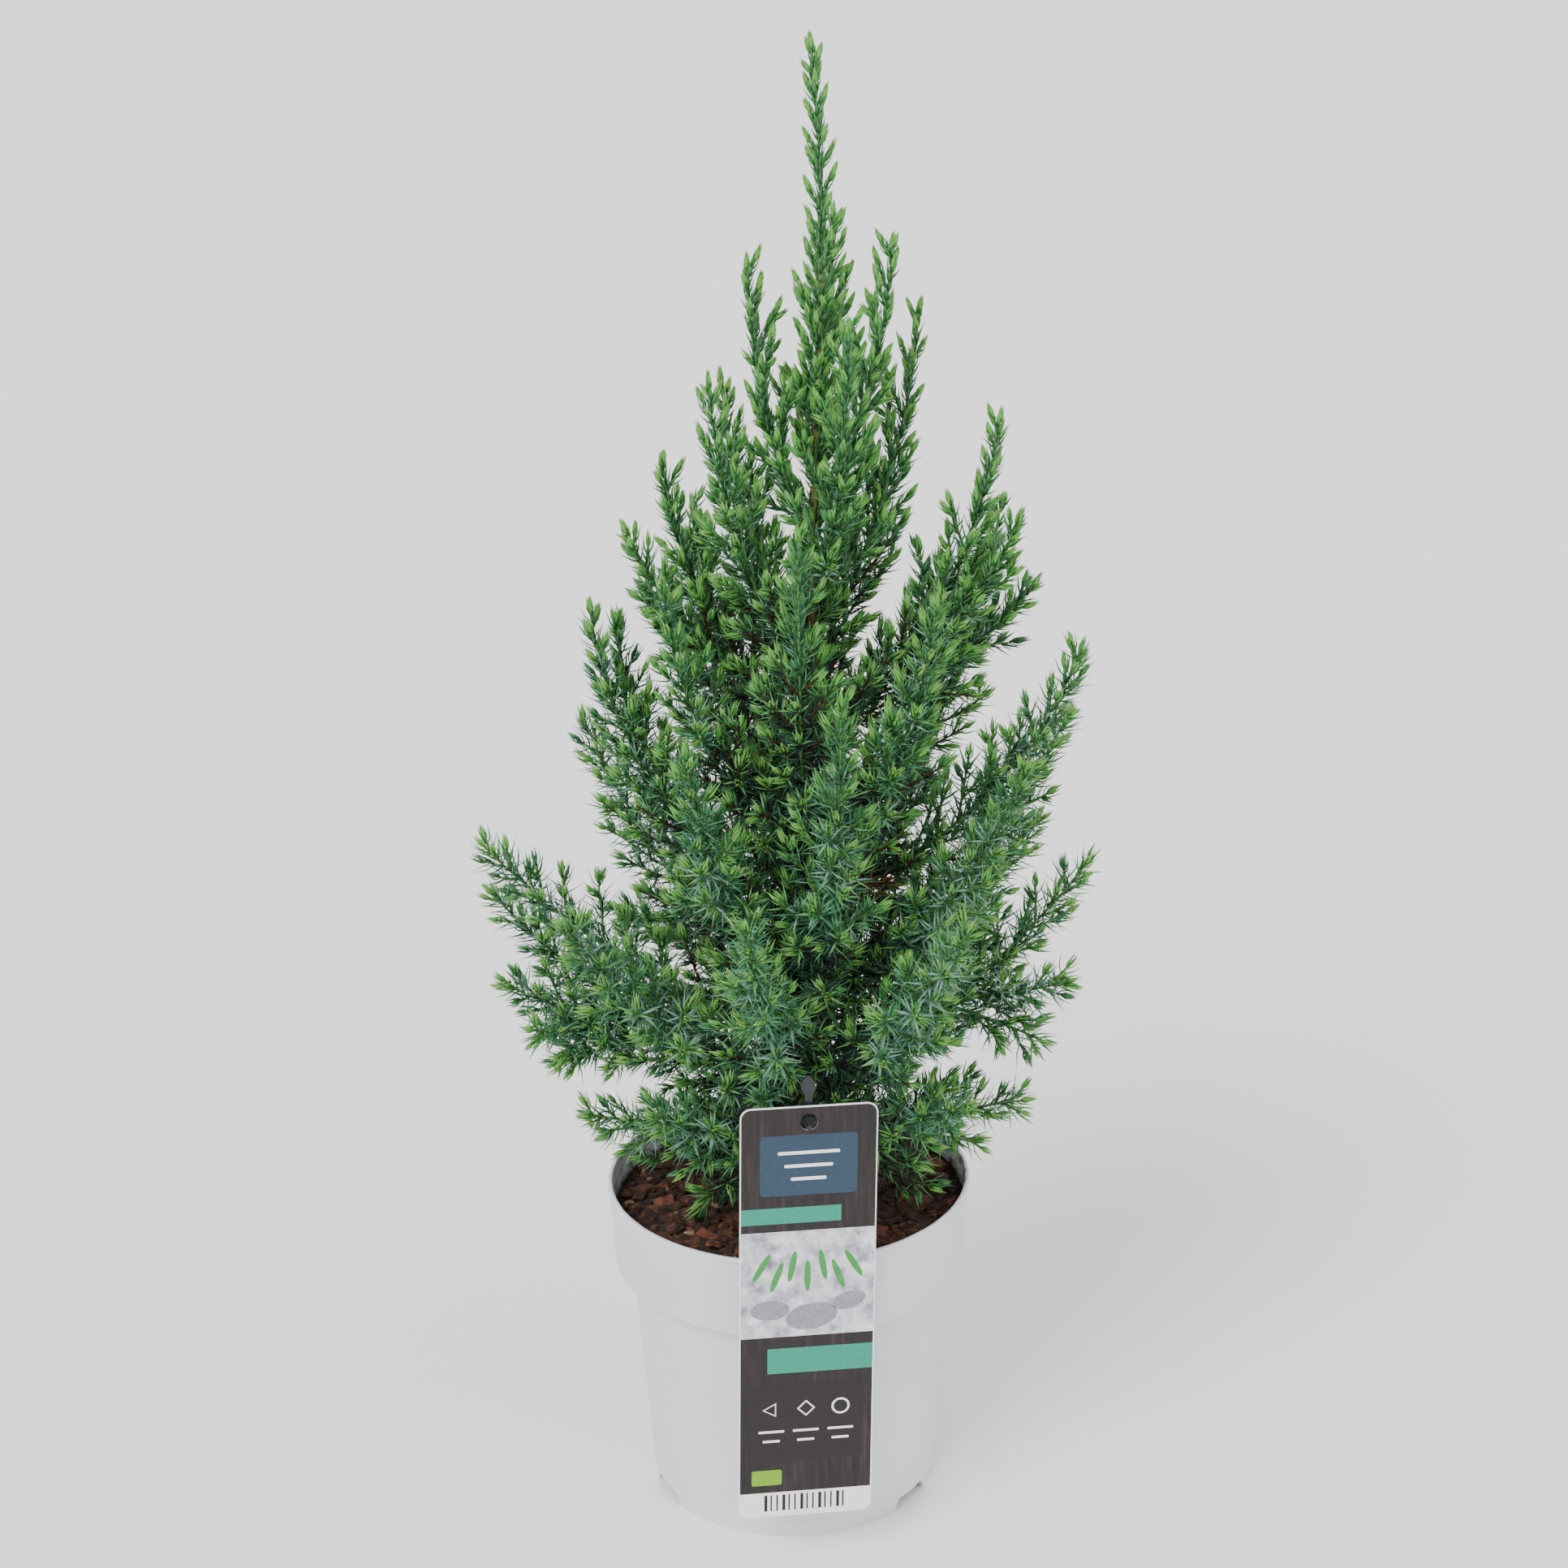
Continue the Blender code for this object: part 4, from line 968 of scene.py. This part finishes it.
    def twig_path(self, base, direction, length):
        """A twig that turns up a little as it grows."""
        path = [base]
        heading = direction / np.linalg.norm(direction)
        sway = np.array([self.rng.gauss(0, TWIG_SWAY) for _ in range(3)])
        for _ in range(TWIG_STEPS):
            heading = heading + np.array((0, 0, TWIG_RISE / TWIG_STEPS)) + sway / TWIG_STEPS
            heading /= np.linalg.norm(heading)
            path.append(path[-1] + heading * length / TWIG_STEPS)
        return np.array(path)

    def beyond_tip(self, tip, end):
        """True where a shoot would reach past the tip that its mass is named for."""
        if end[2] > SOIL_Z + PLANT_HEIGHT - 1 * MM:
            return tip[2] > end[2] - LEADER_ROOM
        apart = [np.linalg.norm((p - trunk_axis(p[2] - SOIL_Z))[:2]) for p in (tip, end)]
        return apart[0] > apart[1] + TIP_ROOM or tip[2] > end[2] + TIP_RISE

    def blocked(self, path, own):
        """True where a shoot would leave its mass's space or touch the pot, soil, card or hook."""
        x, y, z = path[1:].T
        near_rim = (z < POT_HEIGHT + RIM_ROOM) & (np.hypot(x, y) > RIM_INSIDE)
        near_card = (abs(x - CARD_X) < CARD_ASIDE) & (y < CARD_BEHIND_Y) & (z < CARD_TOP + CARD_ABOVE)
        if (z < SOIL_Z + SOIL_ROOM).any() or near_rim.any() or near_card.any():
            return True
        if own is None:
            return False
        if self.beyond_tip(path[-1], own[-1]):
            return True
        tips = path[[len(path) // 2, -1]]
        mine = np.linalg.norm(own[None] - tips[:, None], axis=2).min(1)
        for other in self.paths.values():
            theirs = np.linalg.norm(other[None] - tips[:, None], axis=2).min(1)
            if other is not own and (theirs + SPACE_ROOM < mine).any():
                return True
        return False

    def branch(self, path, start, own, gap, longest, shortest, finer, banded):
        """Twigs round a stem by the golden angle, each bearing finer ones while it is long enough."""
        total = lengths_along(path)[-1]
        turn = self.rng.uniform(0, math.tau)
        stop = start + gap * FIRST_GAP
        while stop < total - LAST_TWIG * BUD_LENGTH:
            points, forward = at_lengths(path, np.array([stop]))
            base, ahead = points[0], forward[0]
            first, second = rows_cross(forward)
            high = min(1.0, max(0.0, (base[2] - SOIL_Z) / PLANT_HEIGHT))
            angle = TWIG_ANGLE - TWIG_ANGLE_CLOSING * high + self.rng.gauss(0, TWIG_ANGLE_SPREAD)
            out = first[0] * math.cos(turn) + second[0] * math.sin(turn)
            direction = ahead * math.cos(math.radians(angle)) + out * math.sin(math.radians(angle))
            tapered = shortest + (longest - shortest) * (1 - (stop - start) / (total - start))
            wanted = tapered * self.rng.uniform(*TWIG_LENGTHS)
            for shrink in TWIG_SHRINKS:
                twig = self.twig_path(base, direction, wanted * shrink)
                if not self.blocked(twig, own):
                    self.grow(twig, base, finer, banded)
                    break
            turn += TWIG_TURN + self.rng.uniform(-TWIG_TURN_SPREAD, TWIG_TURN_SPREAD)
            stop += gap * self.rng.uniform(*GAP_SPREAD)

    def grow(self, twig, base, finer, banded):
        """A twig in the tone of its place: dead, or dark with painted shade, in the heart; banded or
        green outside.
        """
        deep = math.hypot(base[0] - HEART_X, base[1])
        height = base[2] - SOIL_Z
        if height < DEAD_HEIGHT and deep < DEAD_DEPTH and self.rng.random() < DEAD_CHANCE:
            tone = DEAD
        # Deep, low twigs mostly take the dark tone of painted shade
        elif deep < SHADE_DEPTH and self.rng.random() < SHADE_CHANCE and height < SHADE_HEIGHT:
            tone = PAINTED_SHADE
        else:
            tone = BANDED if self.rng.random() < banded else GROWN
        self.shoot(twig, TWIG_RADIUS, tone)
        total = lengths_along(twig)[-1]
        if finer and total > SIDE_BEARER and tone != DEAD:
            longest = total * SIDE_LONGEST
            self.branch(twig, total * SIDE_FROM, None, SIDE_GAP, longest, SIDE_SHORTEST, False, banded)

    def finish(self):
        nodes = [f"foliage_{name}" for name in (*BOUGHS, *SHOOTS, "leader")]
        for (name, inner, outer), blocks in zip(TONES, self.needles):
            cloud = np.concatenate(blocks)
            looks = [
                needle_wax(f"needle_wax_bloom_{name}", inner, 0.55),
                needle_wax(f"needle_skin_{name}", outer, 0.42),
            ]
            pieces = math.ceil(len(cloud) / NEEDLES_A_PIECE)
            for piece, part in enumerate(np.array_split(cloud, pieces)):
                self.needle_mesh(f"needles_{name}_{piece + 1}", part, looks, nodes)
                nodes = []
        green = rind("young_green_rind", 0.5, "#35602C", "#5C8A4A")
        brown = rind("red_brown_rind", 0.75, "#2A180D", "#553822")
        self.green.finish("green_twigs", green, "foliage")
        self.brown.finish("brown_twigs", brown, "bark")

    def needle_mesh(self, name, block, looks, nodes):
        """One piece of needles, with the inner faces in the first look and the outer in the second."""
        count = len(block)
        firsts = np.arange(count)[:, None, None] * NEEDLE_POINTS
        triangles = (firsts + np.array(INNER_FACES + OUTER_FACES)).reshape(-1, 3)
        sides = np.tile([0] * len(INNER_FACES) + [1] * len(OUTER_FACES), count)
        mesh = bpy.data.meshes.new(name)
        mesh.vertices.add(count * NEEDLE_POINTS)
        mesh.vertices.foreach_set("co", block.reshape(-1).astype(np.float32))
        mesh.loops.add(triangles.size)
        mesh.loops.foreach_set("vertex_index", triangles.reshape(-1).astype(np.int32))
        mesh.polygons.add(len(triangles))
        mesh.polygons.foreach_set("loop_start", np.arange(0, triangles.size, 3, dtype=np.int32))
        for material in looks:
            mesh.materials.append(material)
        mesh.polygons.foreach_set("material_index", sides.astype(np.int32))
        mesh.update(calc_edges=True)
        settle(object_from(mesh), None, "foliage", *nodes)


def make_foliage(paths, rng):
    foliage = Foliage(rng, paths)
    for name, path in paths.items():
        total = lengths_along(path)[-1]
        bough, leader = name in BOUGHS, name == "leader"
        start = total * BARE_SHARE if bough else 0.0 if leader else SHOOT_BARE
        fullness = min(1.0, total / FULL_REACH) * (LEADER_FULLNESS if leader else 1.0)
        longest = TWIG_SHORTEST + (TWIG_LONGEST - TWIG_SHORTEST) * fullness
        stem, _ = at_lengths(path, np.linspace(start * (STEM_LAP if bough else 1.0), total, STEM_RINGS))
        foliage.shoot(stem, STEM_RADIUS, GROWN, 0.0 if leader else STEM_BARE * total)
        inner = start * INNER_SHARE if bough else start
        foliage.branch(path, inner, path, TWIG_GAP, longest, TWIG_TIP_LENGTH, True, BANDED_CHANCE)
    for parent, share, azimuth, reach, tip in SPURS:
        spur = spur_path(paths[parent], share, azimuth, reach, tip)
        bare = SPUR_BARE * lengths_along(spur)[-1]
        foliage.shoot(spur, SPUR_RADIUS, GROWN)
        foliage.branch(spur, bare, spur, TWIG_GAP, SPUR_LONGEST, TWIG_TIP_LENGTH, True, BANDED_CHANCE)
    heart = np.array([trunk_axis(height) for height in np.linspace(*HEART_HEIGHTS, HEART_POINTS)])
    foliage.branch(heart, 0.0, None, HEART_GAP, HEART_LONGEST, HEART_SHORTEST, True, HEART_BANDED)
    foliage.finish()


def card_place():
    """The card's own plane: X across, Y up from its top edge, +Z towards the viewer."""
    return (
        Matrix.Translation((CARD_X, CARD_Y, PEG_Z))
        @ Matrix.Rotation(CARD_TURN, 4, "Z")
        @ Matrix.Rotation(CARD_LEAN, 4, "Y")
        @ Matrix.Rotation(math.radians(90), 4, "X")
        @ Matrix.Translation((0, CARD_TOP - PEG_Z, 0))
    )


def thicken(obj, name, thickness, front, material):
    """Names a flat figure, gives it its thickness and lays it on the card."""
    obj.name = name
    obj.data.name = name
    solid = obj.modifiers.new("Thickness", "SOLIDIFY")
    solid.thickness = thickness
    solid.offset = 1.0
    apply_all(obj)
    obj.data.transform(card_place() @ Matrix.Translation((0, 0, front)))
    return settle(obj, material, "card")


def ink_front(layer):
    """How far a layer of ink lies in front of the card's middle plane."""
    return CARD_THICKNESS / 2 + (layer - 1) * INK


def plate(name, left, top, right, bottom, corner, material, thickness=INK, front=ink_front(1)):
    """A flat rounded plate, in mm across and down from the middle of the card's top edge."""
    bpy.ops.mesh.primitive_plane_add(size=1.0)
    obj = bpy.context.object
    obj.scale = ((right - left) * MM, (bottom - top) * MM, 1.0)
    obj.location = ((left + right) / 2 * MM, -(top + bottom) / 2 * MM, 0.0)
    bpy.ops.object.transform_apply(location=True, scale=True)
    if corner:
        bpy.ops.object.mode_set(mode="EDIT")
        bpy.ops.mesh.select_all(action="SELECT")
        bpy.ops.mesh.bevel(offset=corner * MM, segments=CORNER_STEPS, affect="VERTICES")
        bpy.ops.object.mode_set(mode="OBJECT")
    return thicken(obj, name, thickness, front, material)


def motif(name, corners, turn, across, down, half_wide, half_high, material, layer):
    """A small flat figure, such as a pebble or a leaf, printed on the card."""
    bpy.ops.mesh.primitive_circle_add(vertices=corners, radius=1.0, fill_type="NGON")
    obj = bpy.context.object
    obj.scale = (half_wide * MM, half_high * MM, 1.0)
    obj.rotation_euler = (0, 0, math.radians(turn))
    obj.location = (across * MM, -down * MM, 0)
    bpy.ops.object.transform_apply(location=True, rotation=True, scale=True)
    return thicken(obj, name, INK, ink_front(layer), material)


def cut_peg_hole(obj):
    bpy.ops.mesh.primitive_cylinder_add(vertices=PEG_SIDES, radius=PEG_HOLE, depth=PEG_CUT)
    cutter = bpy.context.object
    cutter.data.transform(card_place() @ Matrix.Translation((0, PEG_Z - CARD_TOP, 0)))
    cut(obj, cutter)


def make_card():
    """A plain care card, in colours that are usual for one, whose signs and rules say nothing."""
    inks = {key: print_ink(*row) for key, row in INKS.items()}
    inks |= {"timber": printed_timber(), "stone": printed_stone()}
    white, dark = inks["white"], inks["dark"]
    back = -CARD_THICKNESS / 2
    sheet = (-HALF, 0, HALF, CARD_LENGTH / MM, CARD_CORNER_MM)
    card = plate("care_card_sheet", *sheet, white, CARD_THICKNESS, back)
    cut_peg_hole(card)
    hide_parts("care_card")
    top_ground = (-HALF + EDGE, EDGE, HALF - EDGE, 70, CARD_CORNER_MM - EDGE)
    cut_peg_hole(plate("print_ground_top", *top_ground, inks["timber"]))
    for *place, ink, layer in GROUNDS:
        plate(*place, inks[ink], front=ink_front(layer))
    for *place, ink, layer in MOTIFS:
        motif(*place, inks[ink], layer)
    for index, corners in enumerate(SIGN_CORNERS):
        across = (index - 1) * SIGN_STEP
        for part, size, ink, layer in (("", SIGN_OUTER, white, 3), ("_middle", SIGN_INNER, dark, 4)):
            name = f"print_sign{part}_{index + 1}"
            motif(name, corners, 90, across, SIGN_DOWN, size, size, ink, layer)
        for part, half, top, bottom in SIGN_RULES:
            ends = (across - half, top, across + half, bottom, 0.4)
            plate(f"print_sign_{part}_{index + 1}", *ends, white, front=ink_front(3))
    plate("print_seal", -HALF + 6, 186, -HALF + 20, 194, 1, inks["lime"], front=ink_front(2))
    for index in range(STRIPES):
        left = -HALF + STRIPE_START + index * STRIPE_STEP
        right = left + STRIPE_WIDTH * (2 if index % STRIPE_EVERY == 0 else 1)
        plate(f"print_stripe_{index + 1}", left, STRIPE_ENDS[0], right, STRIPE_ENDS[1], 0, dark)


def make_studio():
    scene = bpy.context.scene
    camera = bpy.data.objects.new("camera", bpy.data.cameras.new("camera"))
    camera.data.lens = CAMERA_LENS
    camera.data.sensor_width = CAMERA_SENSOR
    scene.collection.objects.link(camera)
    right, forward = Vector((1, 0, 0)), Vector((0, math.cos(CAMERA_PITCH), -math.sin(CAMERA_PITCH)))
    up = right.cross(forward)
    side = right * math.cos(CAMERA_ROLL) + up * math.sin(CAMERA_ROLL)
    top = up * math.cos(CAMERA_ROLL) - right * math.sin(CAMERA_ROLL)
    turn = Matrix((side, top, -forward)).transposed().to_4x4()
    camera.matrix_world = Matrix.Translation(CAMERA_PLACE) @ turn
    scene.camera = camera
    world = bpy.data.worlds.new("studio")
    world.use_nodes = True
    sky = world.node_tree.nodes["Background"].inputs
    sky["Color"].default_value = (1, 1, 1, 1)
    sky["Strength"].default_value = SKY_STRENGTH
    scene.world = world
    for name, place, watts, softness in LAMPS:
        lamp = bpy.data.objects.new(name, bpy.data.lights.new(name, "SUN"))
        lamp.data.energy = watts
        lamp.data.angle = math.radians(softness)
        lamp.rotation_euler = (-Vector(place)).to_track_quat("-Z", "Y").to_euler()
        scene.collection.objects.link(lamp)
    bpy.ops.mesh.primitive_plane_add(size=FLOOR_SIZE)
    floor = bpy.context.object
    floor.name = "studio_floor"
    floor.data.materials.append(start_material("pale_floor", 0.9, "#F4F4F4")[0])


def main():
    rng = random.Random(SEED)
    make_studio()
    make_pot()
    make_soil_bed()
    make_chips(rng)
    paths = {name: limb_path(*row) for name, row in {**BOUGHS, **SHOOTS}.items()}
    leader = np.linspace(TRUNK_TOP - LEADER_LAP, PLANT_HEIGHT, LEADER_POINTS)
    paths["leader"] = np.array([trunk_axis(height) for height in leader])
    make_trunk_and_boughs(paths, trunk_bark())
    make_foliage(paths, rng)
    make_card()
    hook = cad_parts["label_hook"]
    hook.data.materials.clear()
    hook.data.materials.append(moulded_hook())


main()
